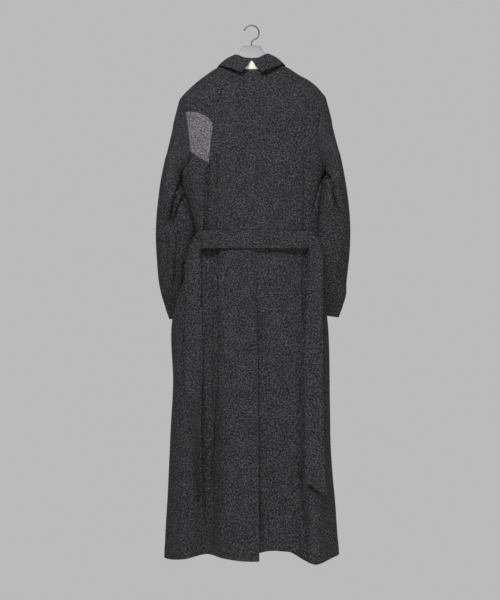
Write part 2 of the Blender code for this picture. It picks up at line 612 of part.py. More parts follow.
def lapel(side):
    """Lapel on the front, from its roll line to its free edge; the right one stops at the left front."""
    share = np.linspace(0.0, 1.0, LAPEL_ROWS)[:, None]
    across = np.linspace(0.0, 1.0, LAPEL_COLUMNS)[None, :]
    lowest = LAPEL_END[side].at_roll + (LAPEL_END[side].at_edge - LAPEL_END[side].at_roll) * across
    z_roll = LAPEL_TOP_Z + (lowest - LAPEL_TOP_Z) * share
    height = np.clip((z_roll - LAPEL_END[-1].at_roll) / (LAPEL_TOP_Z - LAPEL_END[-1].at_roll), 0.0, 1.0)
    width = LAPEL_END_WIDTH + (LAPEL_WIDTH - LAPEL_END_WIDTH) * height ** LAPEL_HOLLOW
    z = z_roll - LAPEL_POINT_DROP * across * (1 - share) ** 2
    x = roll_x(side, z_roll) + side * (LAPEL_ROLL_GAP + width * across)
    angle = front_angle(side, x, z)
    points, normal = body_point(side, angle, z), body_normal(side, angle, z)
    inner = points + LAPEL_GAP * normal
    return inner + CLOTH * normal, inner


def armhole_ring(side):
    """Armhole border round from the tip by the back, the underarm and the front: points and directions."""
    runs = [arm_edge(side, 0.0, SEAM_SHARE, ARM_BACK_ROWS)]
    if side < 0:
        runs.append(arm_edge(side, SEAM_SHARE, INSERT_SHARE, INSERT_ROWS))
        runs.append(arm_edge(side, INSERT_SHARE, 1.0, ARM_SIDE_ROWS))
    else:
        runs.append(arm_edge(side, SEAM_SHARE, 1.0, INSERT_ROWS + ARM_SIDE_ROWS))
    runs.append(arm_front_edge(side, 0.0, 1.0, FRONT_YOKE_ROWS)[::-1])
    pairs = np.concatenate([run[:-1] for run in runs])
    points = body_point(side, pairs[:, 0], pairs[:, 1])
    return points, body_normal(side, pairs[:, 0], pairs[:, 1])


def sleeve_ring(side, turn, z):
    """Ring of the sleeve below the underarm; turn 0 is its outer edge, 90 degrees its back."""
    rows = SLEEVE[side]
    outer, inner = by_height(rows, "outer", z), by_height(rows, "inner", z)
    back, front = by_height(rows, "back", z), by_height(rows, "front", z)
    power = 2.0 / SLEEVE_ROUNDNESS
    cosine, sine = np.cos(turn), np.sin(turn)
    x = side * (0.5 * (outer + inner) + 0.5 * (outer - inner) * np.sign(cosine) * np.abs(cosine) ** power)
    y = 0.5 * (back + front) - 0.5 * (front - back) * np.sign(sine) * np.abs(sine) ** power
    y = y - np.clip(sine, 0.0, 1.0) ** 2 * fold_out(SLEEVE_FOLDS[side], x, z)
    return np.stack(np.broadcast_arrays(x, y, z), axis=-1)


def sleeve_grid(side):
    """Closed sleeve, a column for each armhole point: outer points and outward directions."""
    armhole, armhole_normal = armhole_ring(side)
    lengths = np.linalg.norm(np.roll(armhole, -1, axis=0) - armhole, axis=1)
    turn = 2.0 * math.pi * np.concatenate([[0.0], np.cumsum(lengths)[:-1]]) / lengths.sum()
    tangent = np.roll(armhole, -1, axis=0) - np.roll(armhole, 1, axis=0)
    away = np.cross(tangent, armhole_normal)
    away /= np.linalg.norm(away, axis=1, keepdims=True)
    away *= np.sign(side * away[ARM_BACK_ROWS + 2, 0])

    biceps = sleeve_ring(side, turn, SLEEVE[side][0].z)
    reach = np.linalg.norm(biceps - armhole, axis=1, keepdims=True)
    high = np.clip(np.cos(turn), 0.0, 1.0)[:, None] ** CAP_CROWN
    fall = -CAP_UNDER_FALL - CAP_FALL * high
    leave = np.concatenate([side * np.ones_like(high), np.zeros_like(high), fall], axis=1)
    leave /= np.linalg.norm(leave, axis=1, keepdims=True)
    flat = np.zeros_like(high)
    settle = np.concatenate([side * CAP_END_SPREAD * high, flat, flat - CAP_END_PULL], axis=1)
    rings = [armhole + SEAM_GAP * away]
    for t in np.linspace(0.0, 1.0, CAP_ROWS + 1)[1:]:
        rings.append(armhole * (2 * t**3 - 3 * t**2 + 1) + biceps * (3 * t**2 - 2 * t**3)
                     + reach * leave * (t**3 - 2 * t**2 + t)
                     + reach * settle * (t**3 - t**2))
    for z in np.linspace(SLEEVE[side][0].z, SLEEVE[side][-1].z, TUBE_ROWS + 1)[1:]:
        rings.append(sleeve_ring(side, turn, z))
    grid = np.stack(rings)
    around = np.roll(grid, -1, axis=1) - np.roll(grid, 1, axis=1)
    down = np.gradient(grid, axis=0)
    normal = np.cross(around, down) * side
    normal /= np.linalg.norm(normal, axis=-1, keepdims=True)
    normal[0] = armhole_normal
    return grid, normal


def sleeve(side):
    """Upper and under sleeve, parted at the back and front arm seams."""
    grid, normal = sleeve_grid(side)
    count = grid.shape[1]
    back_seam = ARM_BACK_ROWS + ARM_SEAM_COLUMNS
    front_seam = count - ARM_SEAM_COLUMNS
    word = "left" if side < 0 else "right"
    order = {"under": [j % count for j in range(back_seam, front_seam + 1)],
             "upper": [j % count for j in range(front_seam, count + back_seam + 1)]}
    for part, columns in order.items():
        outer = drawn_in(grid[:, columns], ("left", "right"), 2.0 * SEAM_GAP)
        inner = outer - CLOTH * normal[:, columns]
        wall("sleeve_%s_%s" % (word, part), outer, inner, "wool", WOOL, WOOL_ROUGHNESS)


def neck_points(side, degrees):
    """Seam where the stand meets the coat, by the turn round the neck."""
    neck = NECKLINE[side]
    share = np.clip(np.asarray(degrees, float) / 90.0, 0.0, 1.0)
    x = neck[-1].x * np.sin(share * math.pi / 2)
    z = spline([row.x for row in neck], [row.z for row in neck], x)
    back = body_point(side, back_angle(side * x, z), z)
    lower = np.clip((np.asarray(degrees, float) - 90.0) / 50.0, 0.0, 1.0)
    z_front = neck[-1].z + (COLLAR_FRONT_Z - neck[-1].z) * lower
    front = body_point(side, front_angle(side, roll_x(side, z_front), z_front), z_front)
    return np.where((np.asarray(degrees) <= 90.0)[:, None], back, front)


def collar_frame(side, degrees):
    """Foot and top of the stand, edge of the leaf, and the outward direction, at each turn."""
    columns = {name: spline([row.degrees for row in COLLAR], [getattr(row, name) for row in COLLAR], degrees)
               for name in Collar._fields[1:]}
    drop = LEFT_COLLAR_DROP * smoothstep(np.asarray(degrees) / 90.0) if side < 0 else 0.0
    top = np.stack([side * columns["top_x"], columns["top_y"], columns["top_z"] - drop], axis=-1)
    edge = np.stack([side * columns["edge_x"], columns["edge_y"], columns["edge_z"] - drop], axis=-1)
    foot = neck_points(side, degrees) + np.array([0.0, 0.0, 2.0 * SEAM_GAP])
    rise = top - foot
    rise /= np.linalg.norm(rise, axis=-1, keepdims=True)
    round_neck = np.gradient(0.5 * (foot + top), axis=0)
    round_neck[0] = (side, 0.0, 0.0)
    out = np.cross(rise, round_neck) * side
    out /= np.linalg.norm(out, axis=-1, keepdims=True)
    out *= np.where(np.sum(out * (edge - top), axis=-1, keepdims=True) < 0, -1.0, 1.0)
    return foot, top, edge, rise, out


def collar_leaf(side):
    """Leaf of the collar: inside of the stand, roll over its top, and fall on the outside."""
    foot, top, edge, rise, out = collar_frame(side, COLLAR_TURNS)
    spread = FRONT_COLLAR_SPREAD * smoothstep((COLLAR_TURNS - 90.0) / 20.0)[:, None]
    radius = 0.5 * STAND_CLOTH + LAY_GAP + COLLAR_CLOTH + spread
    share = np.clip(np.abs(edge[:, 0]) / NOTCH_HALF_WIDTH, 0.0, 1.0)[:, None]
    start = top + radius * out
    edge = start + (edge - start) * (NOTCH_TOP + (1.0 - NOTCH_TOP) * share)
    profile = [foot + COLLAR_FOOT_LIFT * rise - radius * out, 0.5 * (foot + top) - radius * out]
    normals = [-out, -out]
    for degrees_round in (0.0, 45.0, 90.0, 135.0, 180.0):
        turn = math.radians(degrees_round)
        direction = -math.cos(turn) * out + math.sin(turn) * rise
        profile.append(top + radius * direction)
        normals.append(direction)
    fall = edge - start
    face = np.cross(np.gradient(start, axis=0), fall)
    face[0, 0] = 0.0
    face /= np.linalg.norm(face, axis=-1, keepdims=True)
    face *= np.where(np.sum(face * out, axis=-1, keepdims=True) < 0, -1.0, 1.0)
    for t in (0.25, 0.6, 1.0):
        profile.append(start + fall * t + face * LEAF_BULGE * math.sin(math.pi * t) * share)
        blend = out * (1 - t) + face * t
        normals.append(blend / np.linalg.norm(blend, axis=-1, keepdims=True))
    outer, normal = np.stack(profile, axis=1), np.stack(normals, axis=1)
    outer = drawn_in(outer, ("top",), SEAM_GAP)
    return outer, outer - COLLAR_CLOTH * normal


def collar_stand():
    """Cream stand round the neck, under the leaves."""
    halves = []
    for side in (-1, 1):
        foot, top, edge, rise, out = collar_frame(side, COLLAR_TURNS)
        high = top - rise * SEAM_GAP
        rows = np.stack([foot, 0.5 * (foot + high), high], axis=1)
        halves.append((rows, np.repeat(out[:, None], 3, axis=1)))
    rows = np.concatenate([halves[0][0][::-1], halves[1][0][1:]])
    out = np.concatenate([halves[0][1][::-1], halves[1][1][1:]])
    return rows + 0.5 * STAND_CLOTH * out, rows - 0.5 * STAND_CLOTH * out


def back_reach(x, z):
    """Depth of the coat's back at a point of the picture plane."""
    left = body_point(-1, back_angle(x, z), z)[..., 1]
    right = body_point(1, back_angle(x, z), z)[..., 1]
    return np.where(x < seam_x(CENTRE_BACK, z), left, right)


def belt_bow(x):
    """Curve of the taut belt in plan, before it is set against the back."""
    middle = 0.5 * (BELT_LEFT + BELT_RIGHT)
    half = 0.5 * (BELT_RIGHT - BELT_LEFT) + BELT_BOW_REACH
    share = np.abs((x - middle) / half) ** BELT_BOW_ROUNDNESS
    return -BELT_BOW * (1.0 - share) ** (1.0 / BELT_BOW_ROUNDNESS)


def belt_arc(x):
    """Depth of the belt's outer face: a taut bow that rests on the fullest place of the back."""
    over, levels = np.meshgrid(np.linspace(BELT_LEFT, BELT_RIGHT, 80), np.linspace(BELT_TOP, BELT_BOTTOM, 5))
    rest = np.min(back_reach(over, levels) - belt_bow(over))
    return belt_bow(np.asarray(x, float)) + rest - LAY_GAP - BELT_CLOTH


def belt_back():
    x = np.linspace(BELT_LEFT, BELT_RIGHT, BELT_COLUMNS + 1)
    bow = BELT_SAG * (1.0 - (2.0 * (x - BELT_LEFT) / (BELT_RIGHT - BELT_LEFT) - 1.0) ** 2)
    levels = np.linspace(0.0, 1.0, 4)
    z = (BELT_TOP + bow)[None] + levels[:, None] * (BELT_BOTTOM - BELT_TOP - 2 * bow)[None]
    y = belt_arc(x)
    slope = np.gradient(y, x)
    normal = np.stack([slope, -np.ones_like(x), np.zeros_like(x)], axis=-1)
    normal /= np.linalg.norm(normal, axis=-1, keepdims=True)
    outer = np.stack(np.broadcast_arrays(x[None], y[None], z), axis=-1)
    return outer, outer - BELT_CLOTH * normal[None]


def belt_tail(side):
    """Hanging end of the belt, clear of the coat's back, turned edge-on where its row says so."""
    rows = TAIL[side]
    run = np.cumsum([0.0] + [math.hypot(b.inner_x - a.inner_x + b.outer_x - a.outer_x,
                                        b.inner_z - a.inner_z + b.outer_z - a.outer_z)
                             for a, b in zip(rows, rows[1:])])
    lower = np.linspace(0.0, 1.0, TAIL_ROWS - 4)[1:] ** 1.1
    at = np.concatenate([run[:5], run[4] + (run[-1] - run[4]) * lower])
    column = {name: spline(run, [getattr(row, name) for row in rows], at) for name in Tail._fields}
    across = np.linspace(0.0, 1.0, 5)
    x = column["outer_x"][:, None] * (1 - across) + column["inner_x"][:, None] * across
    z = column["outer_z"][:, None] * (1 - across) + column["inner_z"][:, None] * across
    belt_end = float(belt_arc(BELT_LEFT if side < 0 else BELT_RIGHT)) + BELT_CLOTH
    depth = np.minimum(belt_end, np.min(back_reach(x, z), axis=1) - TAIL_CLEARANCE)
    for _ in range(4):
        smooth = np.convolve(np.pad(depth, 1, mode="edge"), [0.25, 0.5, 0.25], mode="valid")
        depth[1:] = np.minimum(depth, smooth)[1:]
    inner = np.stack([x, depth[:, None] - column["turn"][:, None] * across, z], axis=-1)
    normal = np.cross(np.gradient(inner, axis=1), np.gradient(inner, axis=0))
    normal /= np.linalg.norm(normal, axis=-1, keepdims=True)
    normal *= np.where(normal[..., 1:2] > 0, -1.0, 1.0)
    return inner + BELT_CLOTH * normal, inner


def hanger_body():
    """Broad hanger as a run of oval sections from one end to the other."""
    stations = []
    for side in (-1, 1):
        arm = [(bar.x, bar.top, bar.bottom, bar.half_depth) for bar in HANGER_NECK]
        for x in np.linspace(HANGER_REST, HANGER_END, 8):
            share = (x - HANGER_REST) / (HANGER_END - HANGER_REST)
            line = shoulder_z(side * (x + np.array([-0.004, 0.0, 0.004])))
            slant = math.hypot(1.0, (line[2] - line[0]) / 0.008)
            top = line[1] - (CLOTH + HANGER_CLEARANCE) * slant
            height = HANGER_HEIGHT + (HANGER_END_HEIGHT - HANGER_HEIGHT) * share
            depth = HANGER_HALF_DEPTH + (HANGER_END_HALF_DEPTH - HANGER_HALF_DEPTH) * share
            arm.append((x, top, top - height, depth))
        stations.append([(side * x, top, bottom, depth) for x, top, bottom, depth in arm])
    run = stations[0][:0:-1] + stations[1]
    work = bmesh.new()
    loops = []
    for x, top, bottom, depth in run:
        loop = []
        for k in range(HANGER_SIDES):
            turn = 2.0 * math.pi * k / HANGER_SIDES
            z = 0.5 * (top + bottom) + 0.5 * (top - bottom) * math.cos(turn)
            loop.append(work.verts.new((x, depth * math.sin(turn), z)))
        loops.append(loop)
    for first, second in zip(loops, loops[1:]):
        for k in range(HANGER_SIDES):
            after = (k + 1) % HANGER_SIDES
            work.faces.new((first[k], first[after], second[after], second[k]))
    work.faces.new(loops[0])
    work.faces.new(loops[-1][::-1])
    bmesh.ops.recalc_face_normals(work, faces=work.faces)
    mesh = bpy.data.meshes.new("hanger_body")
    work.to_mesh(mesh)
    work.free()
    return finish("hanger_body", mesh, "plastic", PALE_GREY, 0.4)


def hanger_hook():
    """Round wire: arc over the rail, swan neck and straight stem down to the hanger."""
    centre_z = HOOK_WIRE - HOOK_RADIUS
    path = []
    for degrees in np.linspace(HOOK_TIP_DEGREES, HOOK_LOW_DEGREES, 21):
        turn = math.radians(degrees)
        path.append((HOOK_RADIUS * math.cos(turn), centre_z + HOOK_RADIUS * math.sin(turn)))
    low = path[-1]
    stem_top = HANGER_NECK[0].top + HOOK_STEM
    for t in (0.25, 0.5, 0.75, 1.0):
        path.append((low[0] * (1 - t) ** 1.6, low[1] + (stem_top - low[1]) * (0.75 * t + 0.25 * t * t)))
    path.append((0.0, HANGER_NECK[0].top + SEAM_GAP))
    curve = bpy.data.curves.new("hanger_hook", "CURVE")
    curve.dimensions = "3D"
    curve.bevel_depth = HOOK_WIRE
    curve.bevel_resolution = 2
    curve.use_fill_caps = True
    wire = curve.splines.new("POLY")
    wire.points.add(len(path) - 1)
    for point, (x, z) in zip(wire.points, path):
        point.co = (x, 0.0, z, 1.0)
    drawn = bpy.data.objects.new("hook_path", curve)
    bpy.context.scene.collection.objects.link(drawn)
    bpy.context.view_layer.update()
    shape = drawn.evaluated_get(bpy.context.evaluated_depsgraph_get())
    mesh = bpy.data.meshes.new_from_object(shape)
    bpy.data.objects.remove(drawn, do_unlink=True)
    work = bmesh.new()
    work.from_mesh(mesh)
    bmesh.ops.remove_doubles(work, verts=work.verts, dist=1.0e-6)
    bmesh.ops.recalc_face_normals(work, faces=work.faces)
    work.to_mesh(mesh)
    work.free()
    mesh.name = "hanger_hook"
    mesh.materials.clear()
    return finish("hanger_hook", mesh, "metal", DARK_METAL, 0.25, 1.0)


for side, word in ((-1, "left"), (1, "right")):
    body_panel("back_" + word, side, back_panel(side), ("top", "left", "right"))
    body_panel("side_back_" + word, side, side_panel(side), ("top", "left", "right"))
    body_panel("front_" + word, side, front_panel(side), ("top", "right"))
    lapel_outer, lapel_inner = lapel(side)
    wall("lapel_" + word, lapel_outer, lapel_inner, "wool", WOOL, WOOL_ROUGHNESS)
    sleeve(side)
    leaf_outer, leaf_inner = collar_leaf(side)
    wall("collar_" + word, leaf_outer, leaf_inner, "wool", WOOL, WOOL_ROUGHNESS)
    tail_outer, tail_inner = belt_tail(side)
    wall("belt_tail_" + word, tail_outer, tail_inner, "wool", WOOL, WOOL_ROUGHNESS)

body_panel("insert_left", -1, insert_panel(), ("top", "left", "right", "bottom"), "pale_cloth", PALE_CLOTH)
stand_outer, stand_inner = collar_stand()
wall("collar_stand", stand_outer, stand_inner, "felt", CREAM, WOOL_ROUGHNESS)
belt_outer, belt_inner = belt_back()
wall("belt_back", belt_outer, belt_inner, "wool", WOOL, WOOL_ROUGHNESS)
hanger_body()
hanger_hook()
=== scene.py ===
"""Looks of a long wool coat on a broad hanger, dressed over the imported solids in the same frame.

Lengths are in metres, +Z is up, +X is to the wearer's right and the coat's back faces -Y.
"""
import itertools
import math
from collections import namedtuple

import bpy
import numpy as np
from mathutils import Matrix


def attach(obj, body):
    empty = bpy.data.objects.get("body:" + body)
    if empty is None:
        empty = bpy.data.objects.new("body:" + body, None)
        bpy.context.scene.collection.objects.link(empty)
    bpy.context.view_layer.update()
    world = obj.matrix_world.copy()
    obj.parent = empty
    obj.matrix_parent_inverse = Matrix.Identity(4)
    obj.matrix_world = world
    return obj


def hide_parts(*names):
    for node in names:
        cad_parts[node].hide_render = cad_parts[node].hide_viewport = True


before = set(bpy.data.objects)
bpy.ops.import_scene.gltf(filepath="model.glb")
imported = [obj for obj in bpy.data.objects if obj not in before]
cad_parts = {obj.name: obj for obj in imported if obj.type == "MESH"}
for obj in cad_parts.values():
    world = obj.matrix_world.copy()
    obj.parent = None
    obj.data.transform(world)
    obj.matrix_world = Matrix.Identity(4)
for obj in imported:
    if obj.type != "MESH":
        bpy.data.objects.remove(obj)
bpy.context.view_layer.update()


# Studio
# A level camera behind the coat, a large soft lamp high on the left, a weaker one low on the right, and
# one before the coat that leaves no glints. The surround is an even pale grey, and the floor is a pale
# disc well below the hem.
EYE = (-0.0039, -3.0, -0.7124)
LENS_MM = 69.2
SENSOR_MM = 36.0
Lamp = namedtuple("Lamp", "name x y z size watts glints")
LAMPS = [
    Lamp("key_lamp", -0.6, -2.7, 1.45, 0.9, 90.0, True),
    Lamp("fill_lamp", 0.8, -2.2, -1.5, 1.4, 21.0, True),
    Lamp("front_lamp", 0.7, 2.6, 1.2, 1.2, 60.0, False),
]
LAMP_AIM = (0.0, 0.0, -0.65)
SURROUND_FAR = (0.497, 0.497, 0.498)
SURROUND_NEAR = (0.25, 0.25, 0.255)
SURROUND_TURN = 0.35
FLOOR_Z = -2.35
FLOOR_RADIUS = 3.0
FLOOR_SIDES = 96
FLOOR_COLOUR = (0.62, 0.62, 0.61)

scene = bpy.context.scene
scene.view_settings.view_transform = "Standard"
camera = bpy.data.objects.new("camera", bpy.data.cameras.new("camera"))
camera.data.lens = LENS_MM
camera.data.sensor_width = SENSOR_MM
camera.location = EYE
camera.rotation_euler = (math.pi / 2, 0.0, 0.0)
scene.collection.objects.link(camera)
scene.camera = camera

for lamp in LAMPS:
    light = bpy.data.lights.new(lamp.name, "AREA")
    light.shape = "DISK"
    light.size = lamp.size
    light.energy = lamp.watts
    holder = bpy.data.objects.new(lamp.name, light)
    holder.location = (lamp.x, lamp.y, lamp.z)
    holder.visible_glossy = lamp.glints
    aim = np.array(LAMP_AIM) - holder.location
    holder.rotation_euler = (math.acos(-aim[2] / np.linalg.norm(aim)), 0.0, math.atan2(-aim[0], aim[1]))
    scene.collection.objects.link(holder)


class Wire:
    """A socket in a material; arithmetic on it adds Math nodes."""

    def __init__(self, tree, socket):
        self.tree = tree
        self.socket = socket

    def node(self, kind, settings=None, links=None, output=0):
        """Any node: its type, its settings, and the values or links of its sockets."""
        made = self.tree.nodes.new(kind)
        for key, value in (settings or {}).items():
            if key == "stops":
                for k, (place, shade) in enumerate(value):
                    stop = made.color_ramp.elements[k] if k < 2 else made.color_ramp.elements.new(place)
                    stop.position = place
                    stop.color = (*shade, 1.0)
            else:
                setattr(made, key, value)
        for key, value in (links or {}).items():
            if isinstance(value, Wire):
                self.tree.links.new(value.socket, made.inputs[key])
            else:
                made.inputs[key].default_value = value
        return Wire(self.tree, made.outputs[output])

    def other(self, output):
        """Another output of the same node."""
        return Wire(self.tree, self.socket.node.outputs[output])

    def maths(self, operation, *values):
        """A Math node on values or wires."""
        return self.node("ShaderNodeMath", {"operation": operation}, dict(enumerate(values)))

    def __add__(self, value):
        return self.maths("ADD", self, value)

    __radd__ = __add__

    def __sub__(self, value):
        return self.maths("SUBTRACT", self, value)

    def __rsub__(self, value):
        return self.maths("SUBTRACT", value, self)

    def __mul__(self, value):
        return self.maths("MULTIPLY", self, value)

    __rmul__ = __mul__

    def __truediv__(self, value):
        return self.maths("DIVIDE", self, value)

    def __mod__(self, value):
        return self.maths("FLOORED_MODULO", self, value)

    def __abs__(self):
        return self.maths("ABSOLUTE", self)

    def __pow__(self, value):
        return self.maths("POWER", self, value)


def new_finish(name, **constants):
    """Material with constants set on its shader: the shader node and a wire into its tree."""
    material = bpy.data.materials.new(name)
    material.use_nodes = True
    shader = material.node_tree.nodes["Principled BSDF"]
    for key, value in constants.items():
        shader.inputs[key.replace("_", " ")].default_value = value
    return material, shader, Wire(material.node_tree, shader.outputs[0])


def connect(shader, **sockets):
    """Link wires into a shader's sockets, by name."""
    for key, wire in sockets.items():
        wire.tree.links.new(wire.socket, shader.inputs[key.replace("_", " ")])


surround = bpy.data.worlds.new("surround")
surround.use_nodes = True
backdrop = surround.node_tree.nodes["Background"]
room = Wire(surround.node_tree, backdrop.outputs[0])
direction = room.node("ShaderNodeTexCoord", None, None, "Generated")
ahead = room.node("ShaderNodeSeparateXYZ", None, {"Vector": direction}, "Y")
tone = room.node("ShaderNodeValToRGB", {"stops": [(0.0, SURROUND_NEAR), (SURROUND_TURN, SURROUND_FAR)]},
                 {"Fac": ahead})
connect(backdrop, Color=tone)
scene.world = surround

floor_mesh = bpy.data.meshes.new("floor")
floor_turns = np.linspace(0.0, 2.0 * math.pi, FLOOR_SIDES + 1)[:-1]
floor_rim = [(FLOOR_RADIUS * math.cos(turn), FLOOR_RADIUS * math.sin(turn), FLOOR_Z) for turn in floor_turns]
floor_mesh.from_pydata(floor_rim, [], [list(range(FLOOR_SIDES))])
floor_mesh.materials.append(new_finish("floor_paint", Base_Color=(*FLOOR_COLOUR, 1.0))[0])
floor = bpy.data.objects.new("floor", floor_mesh)
scene.collection.objects.link(floor)


# Back panels
# The two halves of the back, cut from charcoal tweed with a centre seam and a vent, the left half lapping
# the right one. They are sewn to the sides along curved seams and to the collar at the neck.
CLOTH = 0.0025
STEP = 0.0036
BACK_STEPS = (0.0042, 0.0023)
EDGE_STEPS = (0.0018, 0.0036, 0.0062)
EDGE_SHARE = 0.2
RIM_STEPS = 4

Section = namedtuple("Section", "z left right back front")
BODY = [
    Section(-0.060, 0.228, 0.232, 0.046, 0.042),
    Section(-0.200, 0.216, 0.221, 0.055, 0.0475),
    Section(-0.300, 0.199, 0.205, 0.061, 0.060),
    Section(-0.390, 0.186, 0.190, 0.064, 0.064),
    Section(-0.470, 0.166, 0.1815, 0.065, 0.064),
    Section(-0.557, 0.146, 0.176, 0.063, 0.061),
    Section(-0.640, 0.171, 0.181, 0.066, 0.061),
    Section(-0.765, 0.206, 0.198, 0.068, 0.060),
    Section(-0.920, 0.204, 0.2025, 0.069, 0.061),
    Section(-1.080, 0.2122, 0.2062, 0.070, 0.062),
    Section(-1.250, 0.2200, 0.2182, 0.071, 0.063),
    Section(-1.385, 0.2265, 0.2275, 0.072, 0.064),
]
ROUNDNESS = 2.2
SHOULDER_ROUND = 0.085
SHOULDER_FALL = 1.05

Along = namedtuple("Along", "x z")
SHOULDER = {
    -1: [Along(0.0, -0.064), Along(0.066, -0.1010), Along(0.092, -0.1105), Along(0.121, -0.1300),
         Along(0.142, -0.1455), Along(0.160, -0.1618), Along(0.175, -0.1770), Along(0.187, -0.1915)],
    1: [Along(0.0, -0.064), Along(0.066, -0.0980), Along(0.090, -0.1050), Along(0.126, -0.1280),
        Along(0.152, -0.1435), Along(0.173, -0.1620), Along(0.184, -0.1745), Along(0.193, -0.1840)],
}
NECKLINE = {
    -1: [Along(0.0, -0.1220), Along(0.025, -0.1195), Along(0.045, -0.1130), Along(0.058, -0.1060),
         Along(0.066, -0.1010)],
    1: [Along(0.0, -0.1220), Along(0.025, -0.1185), Along(0.045, -0.1110), Along(0.058, -0.1035),
        Along(0.066, -0.0980)],
}
Arm = namedtuple("Arm", "degrees z")
ARMHOLE = {
    -1: [Arm(58.6, -0.1915), Arm(51.5, -0.2275), Arm(52.0, -0.2900), Arm(52.5, -0.3305),
         Arm(59.0, -0.3610), Arm(73.0, -0.3840), Arm(90.0, -0.3930)],
    1: [Arm(59.6, -0.1840), Arm(54.0, -0.2200), Arm(53.5, -0.2700), Arm(57.0, -0.3130),
        Arm(64.0, -0.3450), Arm(76.0, -0.3700), Arm(90.0, -0.3800)],
}
CENTRE_BACK = [Along(0.0, -0.122), Along(0.004, -0.255), Along(0.009, -0.560), Along(0.015, -0.789),
               Along(0.017, -0.966), Along(0.0185, -1.220), Along(0.0195, -1.390)]
BACK_SEAM_ARC = {
    -1: [Along(-0.1480, -0.2296), Along(-0.1264, -0.2364), Along(-0.1080, -0.2485), Along(-0.0983, -0.2658)],
    1: [Along(0.1640, -0.2222), Along(0.1520, -0.2258), Along(0.1440, -0.2310), Along(0.1400, -0.2403)],
}
BACK_SEAM = {
    -1: [Along(-0.0983, -0.2658), Along(-0.1060, -0.3200), Along(-0.1101, -0.3628), Along(-0.1150, -0.4500),
         Along(-0.1175, -0.5287), Along(-0.1238, -0.5848), Along(-0.1250, -0.7500), Along(-0.1238, -1.0440),
         Along(-0.1200, -1.2228), Along(-0.1136, -1.3900)],
    1: [Along(0.1400, -0.2403), Along(0.1372, -0.3200), Along(0.1365, -0.3807), Along(0.1352, -0.4623),
        Along(0.1326, -0.5338), Along(0.1288, -0.7890), Along(0.1186, -1.0186), Along(0.1176, -1.1973),
        Along(0.1330, -1.3249), Along(0.1390, -1.3900)],
}
VENT_TOP = -0.730
VENT_FULL = -0.800
VENT_UNDERLAP = 0.036

# Folds that run down the body: where each runs at a height, its half width and how far out it stands
Fold = namedtuple("Fold", "fold z x half_width out")
BACK_FOLDS = {
    -1: [
        Fold("left hollow", -0.340, -0.112, 0.020, 0.000),
        Fold("left hollow", -0.450, -0.106, 0.022, -0.009),
        Fold("left hollow", -0.560, -0.106, 0.023, -0.012),
        Fold("left hollow", -0.900, -0.108, 0.025, -0.017),
        Fold("left hollow", -1.390, -0.114, 0.030, -0.036),
        Fold("left swell", -0.620, -0.040, 0.060, 0.000), Fold("left swell", -1.000, -0.030, 0.060, 0.010),
        Fold("left swell", -1.390, -0.005, 0.062, 0.026),
        Fold("left side swell", -0.700, -0.172, 0.030, 0.000),
        Fold("left side swell", -1.390, -0.178, 0.034, 0.020),
    ],
    1: [
        Fold("vent hollow", -0.640, 0.012, 0.050, 0.000), Fold("vent hollow", -0.760, 0.012, 0.055, -0.007),
        Fold("vent hollow", -1.000, 0.025, 0.056, -0.014), Fold("vent hollow", -1.390, 0.040, 0.058, -0.032),
        Fold("right hollow", -0.420, 0.126, 0.016, 0.000), Fold("right hollow", -0.560, 0.124, 0.017, -0.005),
        Fold("right hollow", -1.390, 0.110, 0.022, -0.006),
        Fold("right ridge", -0.620, 0.152, 0.030, 0.000), Fold("right ridge", -1.000, 0.154, 0.033, 0.014),
        Fold("right ridge", -1.390, 0.161, 0.036, 0.046),
    ],
}
FRONT_FOLDS = {
    -1: [
        Fold("left front ridge", -0.800, -0.085, 0.040, 0.000),
        Fold("left front ridge", -1.390, -0.100, 0.045, 0.026),
        Fold("left front hollow", -0.800, -0.150, 0.026, 0.000),
        Fold("left front hollow", -1.390, -0.160, 0.028, -0.014),
    ],
    1: [
        Fold("closing step", -0.100, -0.010, 0.075, -0.0055),
        Fold("closing step", -1.390, -0.010, 0.075, -0.0055),
        Fold("right front ridge", -0.800, 0.105, 0.036, 0.000),
        Fold("right front ridge", -1.390, 0.120, 0.040, 0.030),
        Fold("right front hollow", -0.850, 0.165, 0.024, 0.000),
        Fold("right front hollow", -1.390, 0.172, 0.026, -0.010),
    ],
}
FOLD_TAPER = 0.45
HEM_LEVEL = -1.3767
Hem = namedtuple("Hem", "x rise")
BACK_HEM = {
    -1: [Hem(-0.2265, -0.004), Hem(-0.205, -0.001), Hem(-0.185, 0.003), Hem(-0.155, 0.007),
         Hem(-0.113, 0.010), Hem(-0.075, 0.008), Hem(-0.040, 0.006), Hem(0.030, 0.0045)],
    1: [Hem(-0.030, 0.0150), Hem(0.020, 0.0155), Hem(0.045, 0.0200), Hem(0.080, 0.0200), Hem(0.100, 0.0180),
        Hem(0.117, 0.0100), Hem(0.137, 0.0030), Hem(0.160, -0.002), Hem(0.175, -0.002), Hem(0.200, 0.0010),
        Hem(0.2275, 0.0045)],
}
BACK_COLUMNS = 8
ARM_BACK_ROWS = 3
ARC_ROWS = 4
INSERT_ROWS = 3
ARM_SIDE_ROWS = 4
SKIRT_ROWS = 17
SHOULDER_CROWD = 1.5
SKIRT_CROWD = 1.15
UNDERARM_STEP = 0.012
SEAM_SHARE = 1.0 / 6.0
INSERT_SHARE = 0.5

